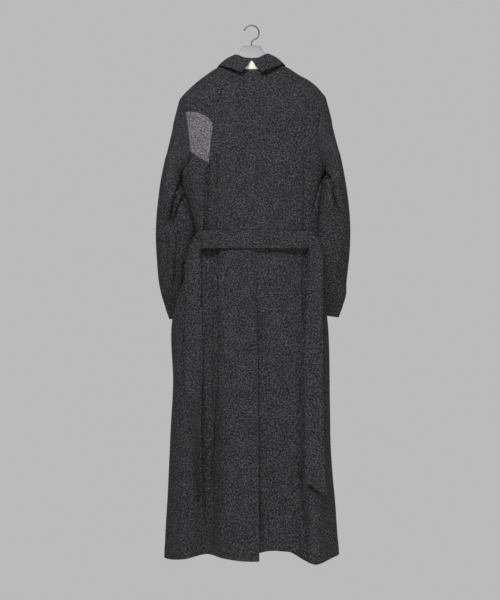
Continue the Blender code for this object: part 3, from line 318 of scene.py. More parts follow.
# Small creases of the back: one end, the other end, how far the middle bows, half width and height
Crease = namedtuple("Crease", "x z to_x to_z bow half_width out")
BACK_CREASES = [
    Crease(-0.1105, -0.330, -0.1205, -0.595, 0.0010, 0.0046, -0.0090),
    Crease(-0.1080, -0.540, -0.1070, -1.180, 0.0000, 0.0110, -0.0050),
    Crease(0.1374, -0.330, 0.1348, -0.570, -0.0010, 0.0036, -0.0050),
    Crease(0.1395, -0.545, 0.1320, -0.790, 0.0008, 0.0042, -0.0080),
    Crease(0.1265, -0.740, 0.1180, -1.260, 0.0010, 0.0048, -0.0066),
    Crease(0.1345, -0.690, 0.1310, -1.130, 0.0000, 0.0032, -0.0058),
    Crease(0.0860, -0.820, 0.1080, -1.400, 0.0040, 0.0340, -0.0120),
    Crease(0.1290, -1.1715, 0.1980, -1.2175, 0.0000, 0.0036, -0.0095),
    Crease(0.1900, -0.380, 0.1590, -0.494, 0.0020, 0.0036, -0.0070),
    Crease(-0.1570, -0.330, -0.1720, -0.400, 0.0010, 0.0036, -0.0028),
    Crease(-0.1480, -0.345, -0.1470, -0.400, 0.0005, 0.0036, -0.0020),
    Crease(-0.0300, -0.150, -0.0350, -0.300, 0.0060, 0.0180, -0.0012),
    Crease(0.0650, -0.180, 0.0720, -0.380, -0.0060, 0.0200, -0.0013),
    Crease(-0.0400, -0.300, -0.0150, -0.470, 0.0050, 0.0160, -0.0012),
    Crease(0.0450, -0.420, 0.0900, -0.520, 0.0040, 0.0130, -0.0014),
    Crease(-0.0600, -0.640, -0.0500, -0.860, 0.0040, 0.0140, -0.0014),
    Crease(0.0700, -0.620, 0.0800, -0.900, -0.0050, 0.0160, -0.0015),
    Crease(0.0075, -0.560, 0.0200, -0.860, 0.0012, 0.0060, -0.0046),
    Crease(-0.1660, -0.640, -0.1700, -0.980, 0.0030, 0.0040, -0.0030),
    Crease(-0.1500, -0.960, -0.1560, -1.320, 0.0040, 0.0100, -0.0030),
    Crease(-0.0350, -1.050, -0.0450, -1.340, 0.0060, 0.0190, -0.0022),
    Crease(0.0620, -1.000, 0.0760, -1.320, -0.0060, 0.0170, -0.0024),
    Crease(0.1165, -1.140, 0.1345, -1.350, 0.0040, 0.0046, -0.0075),
    Crease(-0.1500, -0.240, -0.1450, -0.345, 0.0020, 0.0042, -0.0018),
    Crease(-0.1350, -0.250, -0.1300, -0.350, -0.0010, 0.0042, -0.0014),
    Crease(-0.1200, -0.260, -0.1160, -0.350, 0.0010, 0.0050, 0.0010),
]
CREASE_FADE = 0.22
# Folds that lap: steep under the lip, easy on the other side, and how far the lip leans over
Pleat = namedtuple("Pleat", "x z to_x to_z bow steep easy out lap")
BACK_PLEATS = [
    Pleat(-0.0875, -0.345, -0.0905, -0.590, 0.0004, 0.0020, 0.0040, -0.0060, 0.0012),
    Pleat(-0.0872, -0.530, -0.0865, -1.000, 0.0004, 0.0022, 0.0048, -0.0075, 0.0016),
    Pleat(-0.0860, -0.900, -0.1085, -1.215, 0.0040, 0.0036, 0.0070, -0.0050, 0.0010),
]
PLEAT_FADE = 0.08
PLEAT_TAIL = 0.34
LIP_REACH = 1.1
CREST_DROP = 0.0004
NORMAL_STEP = 1.0e-5
# The back seam shows from a height downwards: how deep, from where, and over what length it comes in
SeamFade = namedtuple("SeamFade", "depth z reach")
BACK_SEAM_FADE = SeamFade(0.4, -0.260, 0.08)
SEAM_DEPTH = 0.0016
SEAM_WIDTH = 0.0032
SEWN_ROUND = 0.0004
SEWN_PRESS = 0.0004
ALLOWANCE_RISE = 0.00045
ALLOWANCE_MIDDLE = 0.0075
ALLOWANCE_HALF = 0.0040
HEM_TURN = 0.038
HEM_RISE = 0.0006
HEM_STEP = 0.008
WAVE_SEED = 11
WAVE_COUNT = 9
WAVE_LONGEST = 0.210
WAVE_SHORTEST = 0.055
WAVE_HEIGHT = 0.00042
WAVE_UPRIGHT = (1.0, 1.0, 0.55)
WAVE_POWER = 0.7
WAIST_Z = -0.560
RUN_STEPS = 33


def spline(knots, values, at):
    """Smooth curve through values at rising knots, held flat beyond both ends."""
    knots = np.asarray(knots, float)
    values = np.asarray(values, float)
    at = np.clip(np.asarray(at, float), knots[0], knots[-1])
    slopes = np.gradient(values, knots, axis=0)
    k = np.clip(np.searchsorted(knots, at, side="right") - 1, 0, len(knots) - 2)
    shape = at.shape + (1,) * (values.ndim - 1)
    width = (knots[k + 1] - knots[k]).reshape(shape)
    t = (at - knots[k]).reshape(shape) / width
    return (values[k] * (2 * t**3 - 3 * t**2 + 1) + values[k + 1] * (3 * t**2 - 2 * t**3)
            + slopes[k] * width * (t**3 - 2 * t**2 + t) + slopes[k + 1] * width * (t**3 - t**2))


def by_height(rows, column, z):
    """A table's column as a smooth function of height, for rows that run downwards."""
    return spline([-row.z for row in rows], [getattr(row, column) for row in rows], -np.asarray(z, float))


def by_reach(rows, column, x):
    """A table's column as a smooth function of the place across, for rows in rising order."""
    return spline([row.x for row in rows], [getattr(row, column) for row in rows], x)


def smoothstep(t):
    """Soft rise from 0 to 1."""
    t = np.clip(t, 0.0, 1.0)
    return t * t * (3.0 - 2.0 * t)


def shoulder_z(x):
    """Height of the shoulder line, with its slope carried on past the tips."""
    x = np.asarray(x, float)
    heights = np.zeros(x.shape)
    for side, rows in SHOULDER.items():
        out = np.abs(x)
        line = by_reach(rows, "z", out)
        line = line - SHOULDER_FALL * np.maximum(0.0, out - rows[-1].x)
        heights = np.where(np.sign(x + 1e-12) == side, line, heights)
    return heights


def fold_out(rows, x, z):
    """Sum of the folds that pass through a point, as a distance out of the cloth."""
    total = np.zeros(np.broadcast(x, z).shape)
    for name in dict.fromkeys(row.fold for row in rows):
        knots = [row for row in rows if row.fold == name]
        heights = [-row.z for row in knots]
        centre, width, out = (np.interp(-z, heights, [getattr(row, column) for row in knots])
                              for column in ("x", "half_width", "out"))
        total = total + out * np.exp(-((x - centre) / width) ** 2)
    return total


def body_point(side, angle, z):
    """Point of the coat's outer surface; angle 0 is the centre back, 90 degrees the right side seam."""
    angle, z = np.broadcast_arrays(np.asarray(angle, float), np.asarray(z, float))
    sine, cosine = np.sin(angle), np.cos(angle)
    half = np.where(sine < 0, by_height(BODY, "left", z), by_height(BODY, "right", z))
    x = np.sign(sine) * half * np.abs(sine) ** (2.0 / ROUNDNESS)
    drop = np.clip((shoulder_z(x) - z) / SHOULDER_ROUND, 0.0, 1.0)
    rounding = np.sqrt(drop * (2.0 - drop))
    flat = np.abs(cosine) ** (2.0 / ROUNDNESS) * rounding
    taper = smoothstep(np.abs(cosine) / FOLD_TAPER) * rounding
    back = -by_height(BODY, "back", z) * flat - taper * fold_out(BACK_FOLDS[side], x, z)
    front = by_height(BODY, "front", z) * flat + taper * fold_out(FRONT_FOLDS[side], x, z)
    return np.stack([x, np.where(cosine >= 0, back, front), z], axis=-1)


def body_normal(side, angle, z):
    """Outward direction of the coat's surface, taken just below the point."""
    z = np.minimum(z, shoulder_z(body_point(side, angle, z)[..., 0]) - CREST_DROP)
    across = body_point(side, angle + NORMAL_STEP, z) - body_point(side, angle - NORMAL_STEP, z)
    down = body_point(side, angle, z - NORMAL_STEP) - body_point(side, angle, z + NORMAL_STEP)
    normal = np.cross(across, down)
    return -normal / np.linalg.norm(normal, axis=-1, keepdims=True)


def back_angle(x, z):
    """Angle of the point of the back at a place across the coat."""
    half = np.where(np.asarray(x) < 0, by_height(BODY, "left", z), by_height(BODY, "right", z))
    return np.sign(x) * np.arcsin(np.clip(np.abs(x) / half, 0.0, 1.0) ** (ROUNDNESS / 2.0))


def lines(*points):
    """Rows of (angle, z) pairs."""
    return np.stack(np.broadcast_arrays(*points), axis=-1).astype(float)


def coons(top, bottom, left, right, crowd=1.0):
    """Grid of (angle, z) pairs blended between four border rows, its rows crowded towards the top."""
    u = np.linspace(0.0, 1.0, len(top))[None, :, None]
    v = (np.linspace(0.0, 1.0, len(left)) ** crowd)[:, None, None]
    return ((1 - v) * top[None] + v * bottom[None] + (1 - u) * left[:, None] + u * right[:, None]
            - (1 - u) * (1 - v) * top[0] - u * (1 - v) * top[-1]
            - (1 - u) * v * bottom[0] - u * v * bottom[-1])


def seam_x(rows, z):
    """Place of a seam across the coat, by height."""
    return by_height(rows, "x", z)


def hem_z(rows, x):
    """Height of the hem, as a smooth curve through its rows."""
    return HEM_LEVEL + by_reach(rows, "rise", x)


def skirt_heights(start, end, rows=SKIRT_ROWS):
    """Row heights, closer together near the waist than at the hem."""
    return start + (end - start) * np.linspace(0.0, 1.0, rows + 1) ** SKIRT_CROWD


def arm_edge(side, start, end, rows):
    """Rows of (angle, z) along the back of an armhole, between two shares of it, closer near the tip."""
    table = ARMHOLE[side]
    shares = np.linspace(0.0, 1.0, len(table))
    at = start + (end - start) * np.linspace(0.0, 1.0, rows + 1) ** (SHOULDER_CROWD if start == 0.0 else 1.0)
    tip = SHOULDER[side][-1]
    degrees = [math.degrees(abs(back_angle(side * tip.x, tip.z)))] + [row.degrees for row in table[1:]]
    return lines(side * np.radians(spline(shares, degrees, at)), spline(shares, [row.z for row in table], at))


def neck_and_shoulder(side, columns):
    """Top border of a back panel from the centre to the shoulder tip, and the column of the neck point."""
    neck, shoulder = NECKLINE[side], SHOULDER[side]
    reach = np.linspace(0.0, shoulder[-1].x, columns + 1)
    corner = int(np.argmin(np.abs(reach - neck[-1].x)))
    reach[corner] = neck[-1].x
    z = np.where(reach <= neck[-1].x, by_reach(neck, "z", reach), shoulder_z(side * reach))
    return lines(back_angle(side * reach, z), z), corner


def seam_heights(side):
    """Heights shared by the panels on both sides of the back seam, down from its arc, and their hem share."""
    start = BACK_SEAM_ARC[side][-1].z
    level = ARMHOLE[side][-1].z - UNDERARM_STEP
    if side < 0:
        insert_end = BACK_SEAM[side][2].z
        upper = np.concatenate([np.linspace(start, insert_end, INSERT_ROWS + 1)[:-1],
                                np.linspace(insert_end, level, ARM_SIDE_ROWS + 1)])
    else:
        upper = np.linspace(start, level, INSERT_ROWS + ARM_SIDE_ROWS + 1)
    z = np.concatenate([upper, skirt_heights(level, HEM_LEVEL)[1:]])
    return z, np.clip((level - z) / (level - HEM_LEVEL), 0.0, 1.0)


def back_panel(side):
    """Half of the back, from the centre seam to the curved back seam: its grid and its corner column."""
    yoke_rows = ARM_BACK_ROWS + ARC_ROWS
    arc = lines(*np.array([(back_angle(row.x, row.z), row.z) for row in BACK_SEAM_ARC[side]]).T)
    outer_edge = np.concatenate([arm_edge(side, 0.0, SEAM_SHARE, ARM_BACK_ROWS), arc])
    top, corner = neck_and_shoulder(side, BACK_COLUMNS)
    z_top, z_yoke = top[0, 1], arc[-1, 1]
    z_centre = z_top + (z_yoke - z_top) * np.linspace(0.0, 1.0, yoke_rows + 1) ** SHOULDER_CROWD
    centre = lines(back_angle(seam_x(CENTRE_BACK, z_centre), z_centre), z_centre)
    across = np.linspace(0.0, 1.0, BACK_COLUMNS + 1)
    row_x = seam_x(CENTRE_BACK, z_yoke) * (1 - across) + BACK_SEAM_ARC[side][-1].x * across
    yoke = coons(top, lines(back_angle(row_x, z_yoke), z_yoke), centre, outer_edge, SHOULDER_CROWD)

    z, share = seam_heights(side)
    inner_x = seam_x(CENTRE_BACK, z)
    if side > 0:
        inner_x = inner_x - VENT_UNDERLAP * smoothstep((VENT_TOP - z) / (VENT_TOP - VENT_FULL))
    outer_x = seam_x(BACK_SEAM[side], z)
    x = inner_x[:, None] * (1 - across) + outer_x[:, None] * across
    z = z[:, None] + share[:, None] * (hem_z(BACK_HEM[side], x) - HEM_LEVEL)
    skirt = lines(back_angle(x, z), z)
    return np.concatenate([yoke, skirt[1:]]), corner


def even(length, step=STEP):
    """Distances along a stretch of cloth: even steps, with closer ones beside both ends."""
    near = np.array([0.0] + [place for place in EDGE_STEPS if place < EDGE_SHARE * length])
    start = near[-1]
    count = max(2, int(round((length - 2 * start) / step)))
    middle = np.linspace(start, length - start, count + 1)
    return np.concatenate([near[:-1], middle, length - near[:-1][::-1]])


def take(grid, places, axis, breaks=()):
    """A grid read at fractional places along one axis, smooth between the breaks."""
    moved = np.moveaxis(grid, axis, 0)
    bounds = [0, *breaks, len(moved) - 1]
    result = np.empty((len(places),) + moved.shape[1:])
    for first, last in zip(bounds, bounds[1:]):
        here = (places >= first) & (places <= last)
        knots = np.arange(first, last + 1)
        result[here] = spline(knots, moved[first:last + 1], places[here])
    return np.moveaxis(result, 0, axis)


def mean_run(points, axis):
    """Distance over the cloth along an axis of a grid, in the mean of its rows or columns."""
    steps = np.linalg.norm(np.diff(points, axis=axis), axis=-1).mean(axis=1 - axis)
    return np.concatenate([[0.0], np.cumsum(steps)])


def places_along(points, axis, step=STEP):
    """Fractional grid places that divide an axis of a grid of points into even steps of cloth."""
    run = mean_run(points, axis)
    return np.interp(even(run[-1], step), run, np.arange(len(run)))


def cloth_run(side, angle, z, middle):
    """Distances over the cloth: level from the middle of the back or front, and upright from the waist."""
    share = np.linspace(0.0, 1.0, RUN_STEPS)
    turned = angle[..., None] - middle
    level = body_point(side, middle + turned * share, z[..., None])
    upright = body_point(side, angle[..., None], WAIST_Z + (z[..., None] - WAIST_Z) * share)
    level, upright = (np.linalg.norm(np.diff(path, axis=-2), axis=-1).sum(axis=-1)
                      for path in (level, upright))
    return np.stack([np.sign(turned[..., 0]) * level, np.sign(z - WAIST_Z) * upright], axis=-1)


def fine_body(side, grid, row_breaks=(), column_breaks=(), middle=0.0, steps=BACK_STEPS):
    """Fine points, normals and cloth distances of the coat over a coarse grid of (angle, z) pairs."""
    coarse = body_point(side, grid[..., 0], grid[..., 1])
    rows, columns = places_along(coarse, 0, steps[0]), places_along(coarse, 1, steps[1])
    run = cloth_run(side, grid[..., 0], grid[..., 1], middle)
    fine = take(take(np.concatenate([grid, run], axis=-1), rows, 0, row_breaks), columns, 1, column_breaks)
    angle, z = fine[..., 0], fine[..., 1]
    return body_point(side, angle, z), body_normal(side, angle, z), fine[..., 2:]


def face_normal(points, outward):
    """Unit normals of a grid, on the side of the outward directions."""
    normal = np.cross(np.gradient(points, axis=1), np.gradient(points, axis=0))
    normal /= np.linalg.norm(normal, axis=-1, keepdims=True) + 1e-12
    sign = np.sign(np.sum(normal * outward))
    return normal * sign


def edge_distances(points):
    """Distance over the cloth from each of a grid's four edges."""
    across = np.cumsum(np.linalg.norm(np.diff(points, axis=1), axis=-1), axis=1)
    along = np.cumsum(np.linalg.norm(np.diff(points, axis=0), axis=-1), axis=0)
    left, top = np.pad(across, ((0, 0), (1, 0))), np.pad(along, ((1, 0), (0, 0)))
    return {"left": left, "right": left[:, -1:] - left, "top": top, "bottom": top[-1:] - top}


def seam_relief(distance):
    """Groove of a seam and the low ridge of the turned cloth beside it."""
    groove = SEAM_DEPTH * np.exp(-(distance / SEAM_WIDTH) ** 1.5)
    return ALLOWANCE_RISE * np.exp(-((distance - ALLOWANCE_MIDDLE) / ALLOWANCE_HALF) ** 2) - groove


def hem_relief(distance):
    """The doubled cloth of a turned-up hem, ending in a soft step."""
    return HEM_RISE * smoothstep((HEM_TURN - distance) / HEM_STEP)


def seam_shows(row, z):
    """How deep a seam shows at a height."""
    return row.depth * smoothstep((row.z - z) / row.reach)


def beside_line(row, x, z):
    """Share of the way along a crease's bowed line, distance from it, and the direction across it."""
    run_x, run_z = row.to_x - row.x, row.to_z - row.z
    length = math.hypot(run_x, run_z)
    t = ((x - row.x) * run_x + (z - row.z) * run_z) / length**2
    across = ((x - row.x) * run_z - (z - row.z) * run_x) / length - 4.0 * row.bow * t * (1.0 - t)
    return t, across, np.array([run_z, 0.0, -run_x]) / length


def crease_relief(rows, x, z):
    """Sum of small creases, each a soft trough or ridge along a bowed line that fades at both ends."""
    total = np.zeros(np.broadcast(x, z).shape)
    for row in rows:
        t, across, _ = beside_line(row, x, z)
        fade = smoothstep(t / CREASE_FADE) * smoothstep((1.0 - t) / CREASE_FADE)
        total = total + row.out * fade * np.exp(-(across / row.half_width) ** 2)
    return total


def pleat(points, normal, rows, side, share=1.0):
    """Cloth with its lapped folds: each sinks along its line, and the lip on its steep side leans over it."""
    x, z = points[..., 0], points[..., 2]
    for row in rows:
        t, across, over = beside_line(row, x, z)
        across, over = side * across, side * over
        fade = share * smoothstep(t / PLEAT_FADE) * smoothstep((1.0 - t) / PLEAT_TAIL)
        sink = row.out * fade * np.exp(-(across / np.where(across > 0, row.easy, row.steep)) ** 2)
        lip = LIP_REACH * row.steep
        lean = row.lap * fade * np.exp(-((across + lip) / lip) ** 2)
        points = points + sink[..., None] * normal + lean[..., None] * over
    return points


def waves(points):
    """Slight unevenness of hanging cloth: a few long waves in fixed directions."""
    draw = np.random.default_rng(WAVE_SEED)
    total = np.zeros(points.shape[:2])
    for length in np.geomspace(WAVE_LONGEST, WAVE_SHORTEST, WAVE_COUNT):
        way = draw.normal(size=3) * WAVE_UPRIGHT
        way /= np.linalg.norm(way)
        phase = draw.uniform(0.0, 2.0 * math.pi)
        total += (length / WAVE_LONGEST) ** WAVE_POWER * np.sin(points @ way * 2.0 * math.pi / length + phase)
    return WAVE_HEIGHT * total


def face_inwards(points, quads):
    """Whether faces look into the shape, from the sign of the volume that they close."""
    corner = points[quads]
    across = np.cross(corner[:, 1], corner[:, 2]) + np.cross(corner[:, 2], corner[:, 3])
    return np.einsum("ij,ij->i", corner[:, 0], across).sum() < 0


def mesh_piece(name, points, faces, material):
    """Smooth mesh object of one material, riding with the coat."""
    mesh = bpy.data.meshes.new(name)
    mesh.from_pydata(points.tolist(), [], faces)
    mesh.shade_smooth()
    mesh.materials.append(material)
    piece = bpy.data.objects.new(name, mesh)
    scene.collection.objects.link(piece)
    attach(piece, "root")
    return piece


def cloth_shell(name, outer, normal, thickness, uv, sewn, material):
    """Closed shell of cloth from a grid of outer points; free edges are round, sewn ones press together."""
    rows, columns = outer.shape[:2]
    ring = [(0, j) for j in range(columns - 1)] + [(i, columns - 1) for i in range(rows - 1)]
    ring += [(rows - 1, j) for j in range(columns - 1, 0, -1)] + [(i, 0) for i in range(rows - 1, 0, -1)]
    at = np.array(ring)
    step_in = np.stack([np.where(at[:, 0] == 0, 1, np.where(at[:, 0] == rows - 1, -1, 0)),
                        np.where(at[:, 1] == 0, 1, np.where(at[:, 1] == columns - 1, -1, 0))], axis=1)
    inside = at + step_in
    away = outer[at[:, 0], at[:, 1]] - outer[inside[:, 0], inside[:, 1]]
    away /= np.linalg.norm(away, axis=1, keepdims=True)
    on_edge = {"top": at[:, 0] == 0, "bottom": at[:, 0] == rows - 1,
               "left": at[:, 1] == 0, "right": at[:, 1] == columns - 1}
    free = np.zeros(len(at), bool)
    for edge, here in on_edge.items():
        free |= here & (edge not in sewn)
    draw = np.where(free, 0.5 * thickness, SEWN_ROUND)[:, None]
    reach = np.where(free, 0.5 * thickness, SEWN_ROUND + SEWN_PRESS)[:, None]
    outer = outer.copy()
    outer[at[:, 0], at[:, 1]] -= draw * away
    inner = outer - thickness * normal
    middle = 0.5 * (outer + inner)[at[:, 0], at[:, 1]]
    up = normal[at[:, 0], at[:, 1]]
    points = [outer.reshape(-1, 3), inner.reshape(-1, 3)]
    for k in range(1, RIM_STEPS):
        turn = math.pi * k / RIM_STEPS
        points.append(middle + 0.5 * thickness * math.cos(turn) * up + reach * math.sin(turn) * away)
    index = np.arange(rows * columns).reshape(rows, columns)
    quads = np.stack([index[:-1, :-1], index[1:, :-1], index[1:, 1:], index[:-1, 1:]], axis=-1).reshape(-1, 4)
    flat_ring = index[at[:, 0], at[:, 1]]
    count = rows * columns
    loops = [flat_ring] + [2 * count + k * len(ring) + np.arange(len(ring)) for k in range(RIM_STEPS - 1)]
    loops.append(flat_ring + count)
    faces = [quads, quads[:, ::-1] + count]
    for first, second in zip(loops, loops[1:]):
        faces.append(np.stack([first, np.roll(first, -1), np.roll(second, -1), second], axis=1))
    uv_points = np.concatenate([uv.reshape(-1, 2)] * 2 + [uv[at[:, 0], at[:, 1]]] * (RIM_STEPS - 1))
    points, faces = np.concatenate(points), np.concatenate(faces)
    if face_inwards(points, faces):
        faces = faces[:, ::-1]
    piece = mesh_piece(name, points, faces.tolist(), material)
    layer = piece.data.uv_layers.new(name="cloth")
    layer.data.foreach_set("uv", uv_points[faces].reshape(-1).astype(np.float32))
    return piece


# Weave: lanes of the chevron, rise of the twill, yarns, blotches, clusters, clouds and neps
LANE = 0.0090
TWILL = 0.0030
TWILL_RISE = (0.25, 0.75)
TWILL_SHARE = 0.12
YARN = 0.0010
YARN_LENGTH = 0.0042
YARN_SHARE = 1.9
BLOTCH = 0.0034
BLOTCH_SLANT = 0.61
BLOTCH_SHARE = 2.6
CLUSTER = 0.0052
CLUSTER_SLANT = 0.33
CLUSTER_SHARE = 2.0
CLOUD = 0.030
CLOUD_SHARE = 0.5
NEP_SPACING = 0.0036
NEP_REACH = 0.30
NEP_CHOSEN = 0.80
NEP_SHARE = 0.55
NAP_DEPTH = 0.0007
NAP_STRENGTH = 0.45


def tweed(name, dark, middle, light, contrast):
    """Tweed: mottled yarns in a faint chevron twill, with a few light neps and a soft nap."""
    material, shader, wire = new_finish(name, Sheen_Weight=0.10, Sheen_Roughness=0.5,
                                        Sheen_Tint=(*light, 1.0), Specular_IOR_Level=0.10)
    cloth = wire.node("ShaderNodeUVMap", {"uv_map": "cloth"})
    across = wire.node("ShaderNodeSeparateXYZ", None, {"Vector": cloth})
    down = across.other("Y")

    def mottle(x, y, wide, long, detail):
        """Soft spots of a width and a length."""
        place = wire.node("ShaderNodeCombineXYZ", None, {"X": x / wide, "Y": y / long})
        return wire.node("ShaderNodeTexNoise", {"noise_dimensions": "2D"},
                         {"Vector": place, "Scale": 1.0, "Detail": detail})

    zigzag = abs((across / LANE) % 2.0 - 1.0) * LANE
    twill = abs(((down + zigzag) / TWILL) % 1.0 - 0.5) * 2.0
    over = wire.node("ShaderNodeMapRange", {"interpolation_type": "SMOOTHSTEP"},
                     {"Value": twill, "From Min": TWILL_RISE[0], "From Max": TWILL_RISE[1]})
    warp = mottle(across, down, YARN, YARN_LENGTH, 1.0)
    weft = mottle(across, down, YARN_LENGTH, YARN, 1.0)
    yarn = warp + (weft - warp) * over
    blotch = mottle(across + down * BLOTCH_SLANT, down - across * BLOTCH_SLANT, BLOTCH, BLOTCH, 2.0)
    cluster = mottle(across - down * CLUSTER_SLANT, down + across * CLUSTER_SLANT, CLUSTER, CLUSTER, 1.0)
    cloud = mottle(across, down, CLOUD, CLOUD, 3.0)
    spot = wire.node("ShaderNodeTexVoronoi", {"voronoi_dimensions": "2D"},
                     {"Vector": cloth, "Scale": 1.0 / NEP_SPACING, "Randomness": 1.0}, "Distance")
    chosen = wire.node("ShaderNodeSeparateColor", None, {"Color": spot.other("Color")})
    nep = spot.maths("LESS_THAN", spot, NEP_REACH) * chosen.maths("GREATER_THAN", chosen, NEP_CHOSEN)
    mix = 0.5 + contrast * ((yarn - 0.5) * YARN_SHARE + (blotch - 0.5) * BLOTCH_SHARE
                            + (cluster - 0.5) * CLUSTER_SHARE + (cloud - 0.5) * CLOUD_SHARE
                            + (over - 0.5) * TWILL_SHARE + nep * NEP_SHARE)
    colour = wire.node("ShaderNodeValToRGB", {"stops": [(0.0, dark), (1.0, light), (0.5, middle)]},
                       {"Fac": mix})
    height = over * 0.35 + yarn * 0.9 + blotch * 0.4
    bump = wire.node("ShaderNodeBump", None,
                     {"Height": height, "Strength": NAP_STRENGTH, "Distance": NAP_DEPTH})
    connect(shader, Base_Color=colour, Roughness=0.84 + yarn * 0.16, Normal=bump)
    return material


charcoal = tweed("charcoal_tweed", dark=(0.0022, 0.0022, 0.0026), middle=(0.0215, 0.0215, 0.0232),
                 light=(0.104, 0.104, 0.108), contrast=0.41)
GRAIN_SHIFT = np.array([0.37, 0.23])
piece_numbers = itertools.count(1)


def cloth_area(points):
    """Area of a grid of cloth."""
    along, across = points[1:, :-1] - points[:-1, :-1], points[:-1, 1:] - points[:-1, :-1]
    back, down = points[1:, 1:] - points[1:, :-1], points[1:, 1:] - points[:-1, 1:]
    halves = np.linalg.norm(np.cross(along, across), axis=-1) + np.linalg.norm(np.cross(back, down), axis=-1)
    return 0.5 * halves.sum()


def dress(name, node, points, normal, material, seams=None, hems=(), creases=(), thickness=CLOTH,
          turned_grain=False, upright=False, wave_share=1.0,
          crease_head=0.0, run=None):
    """Cloth piece over a solid's face: relief, shell and finish. Seams give their depths."""
    seams = seams or {}
    distance = edge_distances(points)
    if normal.ndim == 1:
        normal = face_normal(points, normal)
    relief = wave_share * waves(points)
    for edge, depth in seams.items():
        relief = relief + depth * seam_relief(distance[edge])
    for edge in hems:
        relief = relief + hem_relief(distance[edge])
    fade = smoothstep(distance["top"] / crease_head) if crease_head else 1.0
    relief = relief + fade * crease_relief(creases, points[..., 0], points[..., 2])
    outer = points + relief[..., None] * normal
    bent = face_normal(outer, normal)
    bent[[0, -1]] = normal[[0, -1]]
    bent[:, [0, -1]] = normal[:, [0, -1]]
    if run is None:
        middle = points.shape[1] // 2
        level = distance["left"] - distance["left"][:, middle:middle + 1]
        run = np.stack([level, points[..., 2] if upright else distance["bottom"]], axis=-1)
    grain = (run[..., ::-1] if turned_grain else run) + GRAIN_SHIFT * next(piece_numbers)
    piece = cloth_shell(name, outer, bent, thickness, grain, seams, material)
    width, length = distance["left"].max(), distance["top"].max()
    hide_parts(node)
    min(cloth_area(outer), width * length)


BEHIND = np.array([0.0, -1.0, 0.0])
BEFORE = np.array([0.0, 1.0, 0.0])
WORD = {-1: "left", 1: "right"}

for side in (-1, 1):
    grid, corner = back_panel(side)
    points, normal, run = fine_body(side, grid, (ARM_BACK_ROWS, ARM_BACK_ROWS + ARC_ROWS), (corner,))
    shows = seam_shows(BACK_SEAM_FADE, points[..., 2])
    if side < 0:
        points = pleat(points, normal, BACK_PLEATS, 1)
    dress("back_panel_" + WORD[side], "back_" + WORD[side], points, normal, charcoal,
          seams={"top": 0.3, "left": 0.12, "right": shows}, hems=("bottom",), creases=BACK_CREASES, run=run)


# Back insert
# A pale grey patch of plain wool set between the left armhole and the curved back seam, with a pressed
# seam on all four sides.
INSERT_MIDDLE = Along(-0.1407, -0.3430)
pale = tweed("pale_wool", dark=(0.052, 0.049, 0.052), middle=(0.114, 0.109, 0.115),
             light=(0.207, 0.199, 0.209), contrast=1.05)


def insert_lower_edge(columns):
    """Border between the insert and the panel below it, from the armhole to the back seam."""
    start = arm_edge(-1, INSERT_SHARE, INSERT_SHARE, 0)[0]
    start_x = body_point(-1, start[0], start[1])[0]
    end = BACK_SEAM[-1][2]
    knots, at = (0.0, 0.5, 1.0), np.linspace(0.0, 1.0, columns + 1)
    x = spline(knots, [start_x, INSERT_MIDDLE.x, end.x], at)
    z = spline(knots, [start[1], INSERT_MIDDLE.z, end.z], at)
    return lines(back_angle(x, z), z)


def seam_arc(side, columns):
    """Upper run of the back seam, from the armhole inwards."""
    start = arm_edge(side, SEAM_SHARE, SEAM_SHARE, 0)[0]
    arc = [(start[0], start[1])] + [(back_angle(row.x, row.z), row.z) for row in BACK_SEAM_ARC[side]]
    at = np.linspace(0.0, 1.0, len(arc))
    to = np.linspace(0.0, 1.0, columns + 1)
    return lines(np.interp(to, at, [a for a, _ in arc]), np.interp(to, at, [z for _, z in arc]))


def on_back_seam(side, z):
    """Rows of (angle, z) down the back seam."""
    return lines(back_angle(seam_x(BACK_SEAM[side], z), z), z)


insert_heights = seam_heights(-1)[0][:INSERT_ROWS + 1]
insert_grid = coons(seam_arc(-1, ARC_ROWS), insert_lower_edge(ARC_ROWS),
                    arm_edge(-1, SEAM_SHARE, INSERT_SHARE, INSERT_ROWS), on_back_seam(-1, insert_heights))
insert_points, insert_normal, insert_run = fine_body(-1, insert_grid)
dress("back_insert", "insert_left", insert_points, insert_normal, pale,
      seams={"top": 0.7, "left": 0.8, "right": 0.7, "bottom": 0.7}, creases=BACK_CREASES, run=insert_run)


# Side panels
# The sides of the back, from the armhole and the side seam to the curved back seam, cut from the same
# tweed and hemmed with the back.
SIDE_COLUMNS = 8
SIDE_SEAM_FADE = SeamFade(0.8, -0.235, 0.06)


